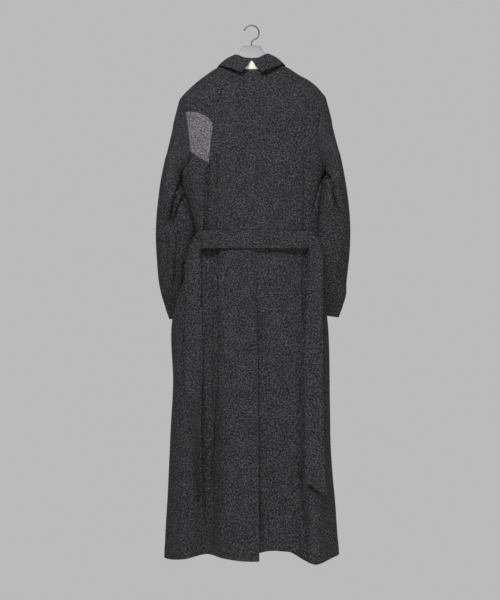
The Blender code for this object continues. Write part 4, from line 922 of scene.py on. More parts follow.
def side_panel(side):
    """Side of the back, from the armhole and the side seam to the curved back seam."""
    if side < 0:
        top = insert_lower_edge(SIDE_COLUMNS)
        edge = arm_edge(side, INSERT_SHARE, 1.0, ARM_SIDE_ROWS)
    else:
        top = seam_arc(side, SIDE_COLUMNS)
        edge = arm_edge(side, SEAM_SHARE, 1.0, INSERT_ROWS + ARM_SIDE_ROWS)
    underarm = edge[-1, 1]
    z_seam, share = seam_heights(side)
    z_seam, share = z_seam[-SKIRT_ROWS - len(edge):], share[-SKIRT_ROWS - 1:]
    z_yoke, z_skirt = z_seam[:len(edge)], z_seam[-SKIRT_ROWS - 1:]
    across = np.linspace(0.0, 1.0, SIDE_COLUMNS + 1)
    level = z_yoke[-1]
    seam_angle = on_back_seam(side, level)[0]
    bottom = lines(edge[-1, 0] * (1 - across) + seam_angle * across, underarm * (1 - across) + level * across)
    yoke = coons(top, bottom, edge, on_back_seam(side, z_yoke))

    z = skirt_heights(underarm, HEM_LEVEL)[:, None] * (1 - across) + z_skirt[:, None] * across
    seam_z = z_skirt + share * (hem_z(BACK_HEM[side], seam_x(BACK_SEAM[side], z_skirt)) - HEM_LEVEL)
    seam_angle = back_angle(seam_x(BACK_SEAM[side], z_skirt), seam_z)
    angle = side * 0.5 * math.pi * (1 - across) + seam_angle[:, None] * across
    x = np.where(across < 1.0, body_point(side, angle, z)[..., 0], seam_x(BACK_SEAM[side], z))
    skirt = lines(angle, z + share[:, None] * (hem_z(BACK_HEM[side], x) - HEM_LEVEL))
    return np.concatenate([yoke, skirt[1:]]), len(edge) - 1


for side in (-1, 1):
    grid, underarm_row = side_panel(side)
    points, normal, run = fine_body(side, grid, (underarm_row,))
    shows = seam_shows(SIDE_SEAM_FADE, points[..., 2])
    dress("side_panel_" + WORD[side], "side_back_" + WORD[side], points, normal, charcoal,
          seams={"top": 0.3, "left": 0.6, "right": shows}, hems=("bottom",), creases=BACK_CREASES, run=run)


# Fronts
# The two fronts of the same tweed, from the closing edge to the side seam, the left one lapping the right.
# Their necks run into the roll lines of the lapels, and no fastening is made.
FRONT_OVERLAP = 0.032
BREAK_POINT_Z = -0.455
FRONT_COLUMNS = 10
FRONT_YOKE_ROWS = 9
FRONT_STEPS = (0.0045, 0.0040)
FRONT_HEM = {
    -1: [Hem(-0.2265, -0.004), Hem(-0.150, 0.003), Hem(0.060, 0.004)],
    1: [Hem(-0.060, 0.012), Hem(0.150, 0.008), Hem(0.2275, 0.0065)],
}
FRONT_CREASES = [
    Crease(-0.120, -0.420, -0.090, -0.600, 0.004, 0.008, -0.0020),
    Crease(0.130, -0.400, 0.100, -0.620, -0.004, 0.009, -0.0022),
    Crease(-0.150, -0.540, -0.060, -0.580, 0.006, 0.007, -0.0015),
    Crease(0.160, -0.560, 0.070, -0.590, -0.005, 0.008, -0.0016),
    Crease(-0.110, -0.700, -0.125, -1.250, 0.006, 0.016, -0.0030),
    Crease(0.070, -0.760, 0.060, -1.300, 0.006, 0.015, -0.0026),
    Crease(-0.050, -0.900, -0.055, -1.330, -0.005, 0.013, -0.0018),
]


def front_angle(side, x, z):
    """Angle of the point of the front at a place across the coat."""
    return side * math.pi - back_angle(x, z)


def arm_front_edge(side, start, end, rows):
    """Rows of (angle, z) along the front of an armhole, from the tip down."""
    edge = arm_edge(side, start, end, rows)
    edge[:, 0] = side * math.pi - edge[:, 0]
    return edge


def roll_x(side, z):
    """Folded edge of a lapel, straight from the neck point to the break point."""
    neck = NECKLINE[side][-1]
    share = np.clip((neck.z - np.asarray(z, float)) / (neck.z - BREAK_POINT_Z), 0.0, 1.0)
    return side * (neck.x - (neck.x + FRONT_OVERLAP) * share)


def front_panel(side):
    """Half of the front, from its closing edge to the side seam."""
    edge = arm_front_edge(side, 0.0, 1.0, FRONT_YOKE_ROWS)
    neck, tip = SHOULDER[side][1], SHOULDER[side][-1]
    across = np.linspace(0.0, 1.0, FRONT_COLUMNS + 1)
    reach = neck.x + (tip.x - neck.x) * across
    z = shoulder_z(side * reach)
    top = lines(front_angle(side, side * reach, z), z)
    underarm = edge[-1, 1]
    z_neck = NECKLINE[side][-1].z
    z = z_neck + (underarm - z_neck) * np.linspace(0.0, 1.0, FRONT_YOKE_ROWS + 1) ** SHOULDER_CROWD
    inner = lines(front_angle(side, roll_x(side, z), z), z)
    bottom = lines(inner[-1, 0] * (1 - across) + edge[-1, 0] * across, underarm)
    yoke = coons(top, bottom, inner, edge, SHOULDER_CROWD)

    z = skirt_heights(underarm, HEM_LEVEL)
    inner_angle = front_angle(side, roll_x(side, z), z)[:, None]
    angle = inner_angle * (1 - across) + side * 0.5 * math.pi * across
    x = body_point(side, angle, z[:, None])[..., 0]
    share = ((underarm - z) / (underarm - HEM_LEVEL))[:, None]
    skirt = lines(angle, z[:, None] + share * (hem_z(FRONT_HEM[side], x) - HEM_LEVEL))
    return np.concatenate([yoke, skirt[1:]])


for side in (-1, 1):
    points, normal, run = fine_body(side, front_panel(side), (FRONT_YOKE_ROWS,), middle=side * math.pi,
                                    steps=FRONT_STEPS)
    dress("front_panel_" + WORD[side], "front_" + WORD[side], points, normal, charcoal,
          seams={"top": 0.4, "right": 0.6}, hems=("bottom",), creases=FRONT_CREASES, run=run)


# Lapels
# The fronts' upper edges, of the same tweed, turned back over the chest and pressed along the roll line.
# Their outer edges are free.
LapelEnd = namedtuple("LapelEnd", "at_roll at_edge")
LAPEL_TOP_Z = -0.150
LAPEL_END = {-1: LapelEnd(-0.435, -0.435), 1: LapelEnd(-0.3345, -0.3730)}
LAPEL_WIDTH = 0.078
LAPEL_POINT_DROP = 0.022
LAPEL_END_WIDTH = 0.006
LAPEL_GAP = 0.0010
LAPEL_ROLL_GAP = 0.0004
LAPEL_HOLLOW = 0.85
LAPEL_ROWS = 56
LAPEL_COLUMNS = 20


def lapel(side):
    """Outer face of a lapel, from its roll line to its free edge; the right one stops at the left front."""
    share = np.linspace(0.0, 1.0, LAPEL_ROWS)[:, None]
    across = np.linspace(0.0, 1.0, LAPEL_COLUMNS)[None, :]
    lowest = LAPEL_END[side].at_roll + (LAPEL_END[side].at_edge - LAPEL_END[side].at_roll) * across
    z_roll = LAPEL_TOP_Z + (lowest - LAPEL_TOP_Z) * share
    height = np.clip((z_roll - LAPEL_END[-1].at_roll) / (LAPEL_TOP_Z - LAPEL_END[-1].at_roll), 0.0, 1.0)
    width = LAPEL_END_WIDTH + (LAPEL_WIDTH - LAPEL_END_WIDTH) * height ** LAPEL_HOLLOW
    z = z_roll - LAPEL_POINT_DROP * across * (1 - share) ** 2
    x = roll_x(side, z_roll) + side * (LAPEL_ROLL_GAP + width * across)
    angle = front_angle(side, x, z)
    return body_point(side, angle, z) + (LAPEL_GAP + CLOTH) * body_normal(side, angle, z)


for side in (-1, 1):
    dress("lapel_fold_" + WORD[side], "lapel_" + WORD[side], lapel(side), BEFORE, charcoal)


# Sleeves
# Two-piece sleeves set into the armholes with a rounded cap, hanging forward over the sides. The upper
# and under pieces are joined along the back and the front of the arm, and the cuffs are plain.
Ring = namedtuple("Ring", "z outer inner back front")
SLEEVE = {
    -1: [Ring(-0.415, 0.2378, 0.1832, -0.058, 0.058), Ring(-0.470, 0.2460, 0.1665, -0.042, 0.068),
         Ring(-0.545, 0.2514, 0.1450, -0.018, 0.090), Ring(-0.610, 0.2496, 0.1510, -0.002, 0.096),
         Ring(-0.670, 0.2460, 0.1600, 0.021, 0.102), Ring(-0.715, 0.2357, 0.1540, 0.034, 0.108),
         Ring(-0.745, 0.2253, 0.1440, 0.044, 0.112), Ring(-0.764, 0.2190, 0.1400, 0.048, 0.114)],
    1: [Ring(-0.402, 0.2434, 0.1897, -0.058, 0.058), Ring(-0.455, 0.2524, 0.1865, -0.042, 0.068),
        Ring(-0.540, 0.2596, 0.1735, -0.020, 0.088), Ring(-0.605, 0.2578, 0.1665, -0.002, 0.096),
        Ring(-0.660, 0.2528, 0.1690, 0.019, 0.100), Ring(-0.715, 0.2488, 0.1640, 0.034, 0.108),
        Ring(-0.742, 0.2390, 0.1570, 0.044, 0.112), Ring(-0.764, 0.2320, 0.1540, 0.048, 0.114)],
}
SLEEVE_ROUNDNESS = 2.3
CAP_FALL = 3.6
CAP_UNDER_FALL = 0.1
CAP_CROWN = 1.5
CAP_END_PULL = 0.8
CAP_END_SPREAD = 0.13
CAP_ROWS = 6
TUBE_ROWS = 11
ARM_SEAM_COLUMNS = 5
SLEEVE_FOLDS = {
    -1: [
        Fold("left crease", -0.400, -0.190, 0.008, 0.000),
        Fold("left crease", -0.450, -0.203, 0.009, -0.007),
        Fold("left crease", -0.520, -0.218, 0.010, -0.006),
        Fold("left crease", -0.580, -0.228, 0.010, 0.000),
    ],
    1: [
        Fold("right crease", -0.390, 0.196, 0.008, 0.000),
        Fold("right crease", -0.430, 0.206, 0.009, -0.006),
        Fold("right crease", -0.490, 0.221, 0.010, 0.000),
    ],
}
SLEEVE_CREASES = {
    -1: [
        Crease(-0.2120, -0.570, -0.2180, -0.710, 0.0010, 0.0050, 0.0020),
        Crease(-0.2360, -0.600, -0.2330, -0.690, 0.0010, 0.0050, -0.0030),
        Crease(-0.2050, -0.250, -0.2140, -0.350, 0.0030, 0.0140, -0.0016),
    ],
    1: [
        Crease(0.1900, -0.384, 0.2170, -0.446, 0.0000, 0.0034, -0.0090),
        Crease(0.1930, -0.470, 0.2110, -0.520, 0.0010, 0.0034, -0.0030),
        Crease(0.2160, -0.540, 0.2060, -0.730, 0.0010, 0.0080, -0.0040),
        Crease(0.2330, -0.590, 0.2260, -0.740, 0.0010, 0.0050, -0.0030),
        Crease(0.2140, -0.240, 0.2240, -0.340, 0.0030, 0.0140, -0.0016),
    ],
}
SLEEVE_PLEATS = {
    -1: [
        Pleat(-0.1785, -0.389, -0.2290, -0.545, 0.0000, 0.0028, 0.0074, -0.0165, 0.0032),
        Pleat(-0.1710, -0.436, -0.2225, -0.540, 0.0000, 0.0026, 0.0074, -0.0140, 0.0028),
        Pleat(-0.2215, -0.535, -0.2275, -0.675, 0.0000, 0.0040, 0.0070, -0.0075, 0.0000),
        Pleat(-0.1890, -0.530, -0.2045, -0.715, 0.0010, 0.0040, 0.0075, -0.0080, 0.0000),
        Pleat(-0.1735, -0.610, -0.1790, -0.735, 0.0010, 0.0045, 0.0070, -0.0040, 0.0000),
    ],
    1: [
        Pleat(0.1845, -0.364, 0.2300, -0.494, 0.0000, 0.0026, 0.0050, -0.0260, 0.0052),
    ],
}
PLEAT_HEAD = 0.006
PLEAT_FACING = (0.3, 2.2)
Cuff = namedtuple("Cuff", "rise inner_rise")
CUFF = {-1: Cuff(0.000, 0.000), 1: Cuff(0.005, 0.010)}
CUFF_TOP = -0.690
Touch = namedtuple("Touch", "z half_height y half_depth out")
SLEEVE_TOUCH = {
    -1: Touch(-0.442, 0.052, 0.012, 0.034, 0.0085),
    1: Touch(-0.420, 0.060, 0.012, 0.040, 0.0050),
}
CORNER_ROUNDNESS = 3.0
CORNER_TOP = {-1: -0.440, 1: -0.405}
CORNER_FADE = 0.050
CONTACT_GAP = 0.0016
CONTACT_FADE = 0.020
SLEEVE_STEP = 0.0032
FOLDED_STEP = 0.0014
FOLDED_HEIGHTS = (-0.370, -0.570)
FOLDED_DEPTH = 0.045
FINE_STEPS = 4001
EXTRA_COLUMNS = 2
EDGE_LOOK = 0.2
Tuck = namedtuple("Tuck", "z towards_body towards_back")
SLEEVE_TUCK = {
    -1: [Tuck(-0.388, 0.000, 0.000), Tuck(-0.418, 0.000, 0.009), Tuck(-0.470, 0.003, 0.013),
         Tuck(-0.545, 0.005, 0.012), Tuck(-0.620, 0.004, 0.010), Tuck(-0.700, 0.001, 0.005),
         Tuck(-0.765, 0.000, 0.000)],
    1: [Tuck(-0.376, 0.000, 0.000), Tuck(-0.406, 0.003, 0.011), Tuck(-0.460, 0.008, 0.017),
        Tuck(-0.545, 0.008, 0.018), Tuck(-0.620, 0.004, 0.012), Tuck(-0.700, 0.001, 0.005),
        Tuck(-0.765, 0.000, 0.000)],
}


def graded(points, axis, close):
    """Fractional places along a grid's axis, closer together where its rows or columns are marked close."""
    run = mean_run(points, axis)
    fine = np.linspace(0.0, run[-1], FINE_STEPS)
    size = np.interp(fine, run, np.where(close, FOLDED_STEP, SLEEVE_STEP))
    count = np.concatenate([[0.0], np.cumsum(np.diff(fine) / size[1:])])
    at = np.interp(np.linspace(0.0, count[-1], int(round(count[-1])) + 1), count, fine)
    return np.interp(at, run, np.arange(len(run)))


def armhole_ring(side):
    """Points of the armhole's border, round from the tip by the back, the underarm and the front."""
    runs = [arm_edge(side, 0.0, SEAM_SHARE, ARM_BACK_ROWS)]
    if side < 0:
        runs.append(arm_edge(side, SEAM_SHARE, INSERT_SHARE, INSERT_ROWS))
        runs.append(arm_edge(side, INSERT_SHARE, 1.0, ARM_SIDE_ROWS))
    else:
        runs.append(arm_edge(side, SEAM_SHARE, 1.0, INSERT_ROWS + ARM_SIDE_ROWS))
    runs.append(arm_front_edge(side, 0.0, 1.0, FRONT_YOKE_ROWS)[::-1])
    pairs = np.concatenate([run[:-1] for run in runs])
    return body_point(side, pairs[:, 0], pairs[:, 1])


def body_half(side, y, z):
    """Half width of the coat's body at a depth and a height, without its folds."""
    half = by_height(BODY, WORD[side], z)
    depth = np.where(y < 0, by_height(BODY, "back", z), by_height(BODY, "front", z))
    return half * np.clip(1.0 - np.abs(y / depth) ** ROUNDNESS, 0.0, 1.0) ** (1.0 / ROUNDNESS)


def sleeve_ring(side, turn, z):
    """Ring of the sleeve below the underarm; turn 0 is its outer edge, 90 degrees its back."""
    rows = SLEEVE[side]
    outer, inner = by_height(rows, "outer", z), by_height(rows, "inner", z)
    back, front = by_height(rows, "back", z), by_height(rows, "front", z)
    power = 2.0 / SLEEVE_ROUNDNESS
    cosine, sine = np.cos(turn), np.sin(turn)
    x = side * (0.5 * (outer + inner) + 0.5 * (outer - inner) * np.sign(cosine) * np.abs(cosine) ** power)
    y = 0.5 * (back + front) - 0.5 * (front - back) * np.sign(sine) * np.abs(sine) ** power
    y = y - np.clip(sine, 0.0, 1.0) ** 2 * fold_out(SLEEVE_FOLDS[side], x, z)
    return np.stack(np.broadcast_arrays(x, y, z), axis=-1)


def sleeve_grid(side):
    """Closed sleeve, a column for each armhole point."""
    armhole = armhole_ring(side)
    lengths = np.linalg.norm(np.roll(armhole, -1, axis=0) - armhole, axis=1)
    turn = 2.0 * math.pi * np.concatenate([[0.0], np.cumsum(lengths)[:-1]]) / lengths.sum()
    biceps = sleeve_ring(side, turn, SLEEVE[side][0].z)
    reach = np.linalg.norm(biceps - armhole, axis=1, keepdims=True)
    high = np.clip(np.cos(turn), 0.0, 1.0)[:, None] ** CAP_CROWN
    flat = np.zeros_like(high)
    leave = np.concatenate([flat + side, flat, -CAP_UNDER_FALL - CAP_FALL * high], axis=1)
    leave /= np.linalg.norm(leave, axis=1, keepdims=True)
    settle = np.concatenate([side * CAP_END_SPREAD * high, flat, flat - CAP_END_PULL], axis=1)
    rings = []
    for t in np.linspace(0.0, 1.0, CAP_ROWS + 1):
        rings.append(armhole * (2 * t**3 - 3 * t**2 + 1) + biceps * (3 * t**2 - 2 * t**3)
                     + reach * leave * (t**3 - 2 * t**2 + t)
                     + reach * settle * (t**3 - t**2))
    for z in np.linspace(SLEEVE[side][0].z, SLEEVE[side][-1].z, TUBE_ROWS + 1)[1:]:
        rings.append(sleeve_ring(side, turn, z))
    return np.stack(rings)


def sleeve_cloth(grid, first, last):
    """Fine points, normals and cloth distances of a sleeve piece, between two columns of the closed grid."""
    count = grid.shape[1]
    wrapped = np.concatenate([grid, grid, grid], axis=1)
    stretch = wrapped[:, count + first - EXTRA_COLUMNS:count + last + EXTRA_COLUMNS + 1]
    core = wrapped[:, count + first:count + last + 1]
    heights, depths = core[..., 2].mean(axis=1), core[CAP_ROWS + 2, :, 1]
    rows = graded(core, 0, (heights < FOLDED_HEIGHTS[0]) & (heights > FOLDED_HEIGHTS[1]))
    columns = graded(core, 1, depths < depths.min() + FOLDED_DEPTH) + EXTRA_COLUMNS
    columns = np.concatenate([[columns[0] - EDGE_LOOK], columns, [columns[-1] + EDGE_LOOK]])
    points = take(take(stretch, rows, 0), columns, 1)
    normal = face_normal(points, points - grid.mean(axis=(0, 1)))[:, 1:-1]
    points = points[:, 1:-1]
    distance = edge_distances(points)
    level = distance["left"] - distance["left"][:, points.shape[1] // 2, None]
    return points, normal, np.stack([level, distance["bottom"]], axis=-1)


def fuller_corner(side, points, outer, inner):
    """Squarer cross section at the corner between the sleeve's back and the coat's side."""
    z = points[..., 2]
    back, front = by_height(SLEEVE[side], "back", z), by_height(SLEEVE[side], "front", z)
    middle = np.stack([side * 0.5 * (outer + inner), 0.5 * (back + front)], axis=-1)
    half = np.stack([0.5 * (outer - inner), 0.5 * (front - back)], axis=-1)
    out = (points[..., :2] - middle) / half
    size = np.abs(out)
    fuller = ((size ** SLEEVE_ROUNDNESS).sum(axis=-1) ** (1.0 / SLEEVE_ROUNDNESS)
              / (size ** CORNER_ROUNDNESS).sum(axis=-1) ** (1.0 / CORNER_ROUNDNESS))
    at_corner = (out[..., 0] * side < 0) & (out[..., 1] < 0)
    low = smoothstep((CORNER_TOP[side] - z) / CORNER_FADE)
    fuller = 1.0 + np.where(at_corner, fuller - 1.0, 0.0) * low
    return np.concatenate([middle + half * out * fuller[..., None], points[..., 2:]], axis=-1)


def settled_sleeve(side, points, normal, touches_side):
    """Sleeve tucked towards the coat's back, pressed where it touches the side, and kept out of the body."""
    z = points[..., 2]
    outer, inner = by_height(SLEEVE[side], "outer", z), by_height(SLEEVE[side], "inner", z)
    inward = np.clip((outer - side * points[..., 0]) / (outer - inner), 0.0, 1.0)
    points = fuller_corner(side, points, outer, inner)
    tuck = np.stack([-side * by_height(SLEEVE_TUCK[side], "towards_body", z),
                     -by_height(SLEEVE_TUCK[side], "towards_back", z), np.zeros_like(z)], axis=-1)
    points = points + tuck * inward[..., None]
    if touches_side:
        touch = SLEEVE_TOUCH[side]
        press = np.exp(-((z - touch.z) / touch.half_height) ** 2
                       - ((points[..., 1] - touch.y) / touch.half_depth) ** 2)
        facing = np.clip(-side * normal[..., 0], 0.0, 1.0)
        points[..., 0] -= side * touch.out * press * facing
    low = smoothstep((CUFF_TOP - z) / (CUFF_TOP - SLEEVE[side][-1].z))
    points[..., 2] += low * (CUFF[side].rise + CUFF[side].inner_rise * inward)
    rest = body_half(side, points[..., 1], z) + CONTACT_GAP
    below = smoothstep((SLEEVE_TUCK[side][0].z - z) / CONTACT_FADE)
    points[..., 0] += side * below * np.maximum(0.0, rest - side * points[..., 0])
    return points


for side in (-1, 1):
    sleeve = sleeve_grid(side)
    back_seam = ARM_BACK_ROWS + ARM_SEAM_COLUMNS
    front_seam = sleeve.shape[1] - ARM_SEAM_COLUMNS
    for part, first, last in (("under", back_seam, front_seam),
                              ("upper", front_seam, sleeve.shape[1] + back_seam)):
        points, normal, run = sleeve_cloth(sleeve, first, last)
        points = settled_sleeve(side, points, normal, part == "under")
        below_cap = smoothstep(edge_distances(points)["top"] / PLEAT_HEAD)
        behind = np.clip(PLEAT_FACING[0] - PLEAT_FACING[1] * normal[..., 1], 0.0, 1.0)
        points = pleat(points, normal, SLEEVE_PLEATS[side], side, below_cap * behind)
        dress("sleeve_%s_%s_piece" % (WORD[side], part), "sleeve_%s_%s" % (WORD[side], part), points,
              normal, charcoal, seams={"top": 0.5, "left": 0.5, "right": 0.5}, hems=("bottom",),
              creases=SLEEVE_CREASES[side], crease_head=PLEAT_HEAD,
              run=run)


# Collar stand
# The stand of cream felt, one band sewn upright round the neck, inside the fold of the two leaves. It
# shows in the notch between them.
Collar = namedtuple("Collar", "degrees top_x top_y top_z edge_x edge_y edge_z")
COLLAR = [
    Collar(0.0, 0.000, -0.0500, -0.0970, 0.000, -0.0650, -0.1330),
    Collar(20.0, 0.018, -0.0470, -0.0945, 0.026, -0.0640, -0.1310),
    Collar(45.0, 0.034, -0.0340, -0.0845, 0.055, -0.0500, -0.1175),
    Collar(70.0, 0.043, -0.0140, -0.0780, 0.077, -0.0260, -0.1060),
    Collar(90.0, 0.046, 0.0040, -0.0775, 0.0868, -0.0020, -0.1005),
    Collar(115.0, 0.048, 0.0230, -0.0960, 0.0960, 0.0270, -0.1180),
    Collar(140.0, 0.052, 0.0400, -0.1290, 0.1010, 0.0470, -0.1480),
]
SIDE_DEGREES = 90.0
FRONT_DEGREES = 50.0
COLLAR_FRONT_Z = -0.150
LEFT_COLLAR_DROP = 0.0030
STAND_CLOTH = 0.0016
SEAM_GAP = 0.0003
COLLAR_TURNS = np.concatenate([np.linspace(0.0, 20.0, 11), np.linspace(20.0, 140.0, 49)[1:]])
STAND_ROWS = 14
STAND_SWELL = 0.0016
STAND_SWELL_HALF = 0.020
FELT_GRAIN = 0.0016


def neck_points(side, degrees):
    """Seam where the stand meets the coat, by the turn round the neck."""
    neck = NECKLINE[side]
    share = np.clip(degrees / SIDE_DEGREES, 0.0, 1.0)
    x = neck[-1].x * np.sin(share * math.pi / 2)
    z = by_reach(neck, "z", x)
    back = body_point(side, back_angle(side * x, z), z)
    lower = np.clip((degrees - SIDE_DEGREES) / FRONT_DEGREES, 0.0, 1.0)
    z_front = neck[-1].z + (COLLAR_FRONT_Z - neck[-1].z) * lower
    front = body_point(side, front_angle(side, roll_x(side, z_front), z_front), z_front)
    return np.where((degrees <= SIDE_DEGREES)[:, None], back, front)


def collar_frame(side, degrees):
    """Foot and top of the stand, edge of the leaf, and the directions up and outward, at each turn."""
    knots = [row.degrees for row in COLLAR]
    columns = {name: spline(knots, [getattr(row, name) for row in COLLAR], degrees)
               for name in Collar._fields[1:]}
    drop = LEFT_COLLAR_DROP * smoothstep(degrees / SIDE_DEGREES) if side < 0 else 0.0
    top = np.stack([side * columns["top_x"], columns["top_y"], columns["top_z"] - drop], axis=-1)
    edge = np.stack([side * columns["edge_x"], columns["edge_y"], columns["edge_z"] - drop], axis=-1)
    foot = neck_points(side, degrees) + np.array([0.0, 0.0, 2.0 * SEAM_GAP])
    rise = top - foot
    rise /= np.linalg.norm(rise, axis=-1, keepdims=True)
    round_neck = np.gradient(0.5 * (foot + top), axis=0)
    round_neck[0] = (side, 0.0, 0.0)
    out = np.cross(rise, round_neck) * side
    out /= np.linalg.norm(out, axis=-1, keepdims=True)
    out *= np.where(np.sum(out * (edge - top), axis=-1, keepdims=True) < 0, -1.0, 1.0)
    return foot, top, edge, rise, out


def felt(name, dark, light):
    """Pressed felt: matted fibres with a fine uneven grain."""
    material, shader, wire = new_finish(name, Sheen_Weight=0.3, Sheen_Roughness=0.5, Specular_IOR_Level=0.15)
    cloth = wire.node("ShaderNodeUVMap", {"uv_map": "cloth"})
    fibre = wire.node("ShaderNodeTexNoise", {"noise_dimensions": "2D"},
                      {"Vector": cloth, "Scale": 1.0 / FELT_GRAIN, "Detail": 4.0, "Roughness": 0.7})
    colour = wire.node("ShaderNodeValToRGB", {"stops": [(0.25, dark), (0.75, light)]}, {"Fac": fibre})
    bump = wire.node("ShaderNodeBump", None, {"Height": fibre, "Strength": 0.4, "Distance": 0.0004})
    connect(shader, Base_Color=colour, Roughness=0.8 + fibre * 0.2, Normal=bump)
    return material


cream = felt("cream_felt", dark=(0.74, 0.69, 0.57), light=(0.93, 0.89, 0.79))
stand_halves = []
for side in (-1, 1):
    foot, top, _, rise, out = collar_frame(side, COLLAR_TURNS)
    high = top - rise * SEAM_GAP
    climb = np.linspace(1.0, 0.0, STAND_ROWS)[:, None, None]
    swell = STAND_SWELL * np.exp(-(foot[:, :1] / STAND_SWELL_HALF) ** 2) * np.sin(math.pi * climb)
    rows = foot * (1 - climb) + high * climb + (0.5 * STAND_CLOTH + swell) * out
    stand_halves.append(rows if side > 0 else rows[:, ::-1])
stand_points = np.concatenate([stand_halves[0], stand_halves[1][:, 1:]], axis=1)
dress("collar_stand_band", "collar_stand", stand_points, BEHIND, cream, thickness=STAND_CLOTH,
      wave_share=0.3)


# Collar leaves
# Two leaves of tweed that rise inside the stand, roll over its top and fall on the outside, parted at the
# centre back in a notch. Their edges are turned and pressed.
COLLAR_CLOTH = 0.0024
LAY_GAP = 0.0006
NOTCH_HALF_WIDTH = 0.0245
NOTCH_TOP = 0.015
LEAF_BULGE = 0.0035
FRONT_COLLAR_SPREAD = 0.0008
FRONT_SPREAD_DEGREES = 20.0
COLLAR_FOOT_LIFT = 0.003
LEAF_CLIMB = (0.0, 0.25, 0.5, 0.75)
LEAF_ROLL_STEPS = 13
LEAF_FALL_STEPS = 14
LEAF_OUTWARD = (0.2, -1.0, 0.3)


def collar_leaf(side):
    """Outer face of a leaf, up the stand's inside, over its top and down, and distances over the cloth."""
    foot, top, edge, rise, out = collar_frame(side, COLLAR_TURNS)
    spread = FRONT_COLLAR_SPREAD * smoothstep((COLLAR_TURNS - SIDE_DEGREES) / FRONT_SPREAD_DEGREES)[:, None]
    radius = 0.5 * STAND_CLOTH + LAY_GAP + COLLAR_CLOTH + spread
    share = np.clip(np.abs(edge[:, 0]) / NOTCH_HALF_WIDTH, 0.0, 1.0)[:, None]
    start = top + radius * out
    edge = start + (edge - start) * (NOTCH_TOP + (1.0 - NOTCH_TOP) * share)
    profile = [foot + (COLLAR_FOOT_LIFT * rise if t == 0 else (top - foot) * t) - radius * out
               for t in LEAF_CLIMB]
    for turn in np.linspace(0.0, math.pi, LEAF_ROLL_STEPS):
        profile.append(top + radius * (-math.cos(turn) * out + math.sin(turn) * rise))
    profile = np.stack(profile)
    steps = np.linalg.norm(np.diff(profile, axis=0), axis=-1)
    climb = np.concatenate([steps[::-1].cumsum(axis=0)[::-1], np.zeros((1, len(start)))])
    fall = edge - start
    face = np.cross(np.gradient(start, axis=0), fall)
    face[0, 0] = 0.0
    face /= np.linalg.norm(face, axis=-1, keepdims=True)
    face *= np.where(np.sum(face * out, axis=-1, keepdims=True) < 0, -1.0, 1.0)
    t = np.linspace(0.0, 1.0, LEAF_FALL_STEPS)[1:, None, None]
    profile = np.concatenate([profile, start + fall * t + face * LEAF_BULGE * np.sin(math.pi * t) * share])
    level = np.linalg.norm(np.diff(profile[..., :2], axis=1), axis=-1).cumsum(axis=1)
    level = np.concatenate([np.zeros((len(profile), 1)), level], axis=1)
    upright = np.concatenate([start[:, 2] + climb, profile[len(climb):, :, 2]])
    return profile, np.stack([level, upright], axis=-1)


for side in (-1, 1):
    leaf, run = collar_leaf(side)
    outward = np.array(LEAF_OUTWARD) * (side, 1.0, 1.0)
    dress("collar_leaf_" + WORD[side], "collar_" + WORD[side], leaf, outward, charcoal,
          thickness=COLLAR_CLOTH, wave_share=0.4, run=run)


# Belt
# A half belt of doubled tweed across the back waist. It rests on the fullest part of the back, stands off
# the hollows, and its two ends turn down and hang as loose tails.
BELT_CLOTH = 0.0034
BELT_TOP = -0.5345
BELT_BOTTOM = -0.5805
BELT_LEFT = -0.1300
BELT_RIGHT = 0.1465
BELT_SAG = 0.0010
BELT_BOW = 0.062
BELT_BOW_REACH = 0.030
BELT_BOW_ROUNDNESS = 2.6
Lift = namedtuple("Lift", "start end soft out")
BELT_LIFTS = [
    Lift(0.002, 0.134, 0.010, 0.0115),
    Lift(-0.1250, -0.086, 0.009, 0.0100),
    Lift(-0.086, 0.002, 0.010, 0.0020),
]
BELT_LIFT_POWER = 1.5
BELT_ROLL = 0.0014
BELT_LOOK = (80, 5)


def back_reach(x, z):
    """Depth of the coat's back at a point of the picture plane."""
    left = body_point(-1, back_angle(x, z), z)[..., 1]
    right = body_point(1, back_angle(x, z), z)[..., 1]
    return np.where(x < seam_x(CENTRE_BACK, z), left, right)


def belt_bow(x):
    """Curve of the taut belt in plan, before it is set against the back."""
    middle = 0.5 * (BELT_LEFT + BELT_RIGHT)
    half = 0.5 * (BELT_RIGHT - BELT_LEFT) + BELT_BOW_REACH
    share = np.abs((x - middle) / half) ** BELT_BOW_ROUNDNESS
    return -BELT_BOW * (1.0 - share) ** (1.0 / BELT_BOW_ROUNDNESS)


def belt_arc(x):
    """Depth of the belt's outer face: a taut bow that rests on the fullest place of the back."""
    over, levels = np.meshgrid(np.linspace(BELT_LEFT, BELT_RIGHT, BELT_LOOK[0]),
                               np.linspace(BELT_TOP, BELT_BOTTOM, BELT_LOOK[1]))
    rest = np.min(back_reach(over, levels) - belt_bow(over))
    return belt_bow(np.asarray(x, float)) + rest - LAY_GAP - BELT_CLOTH


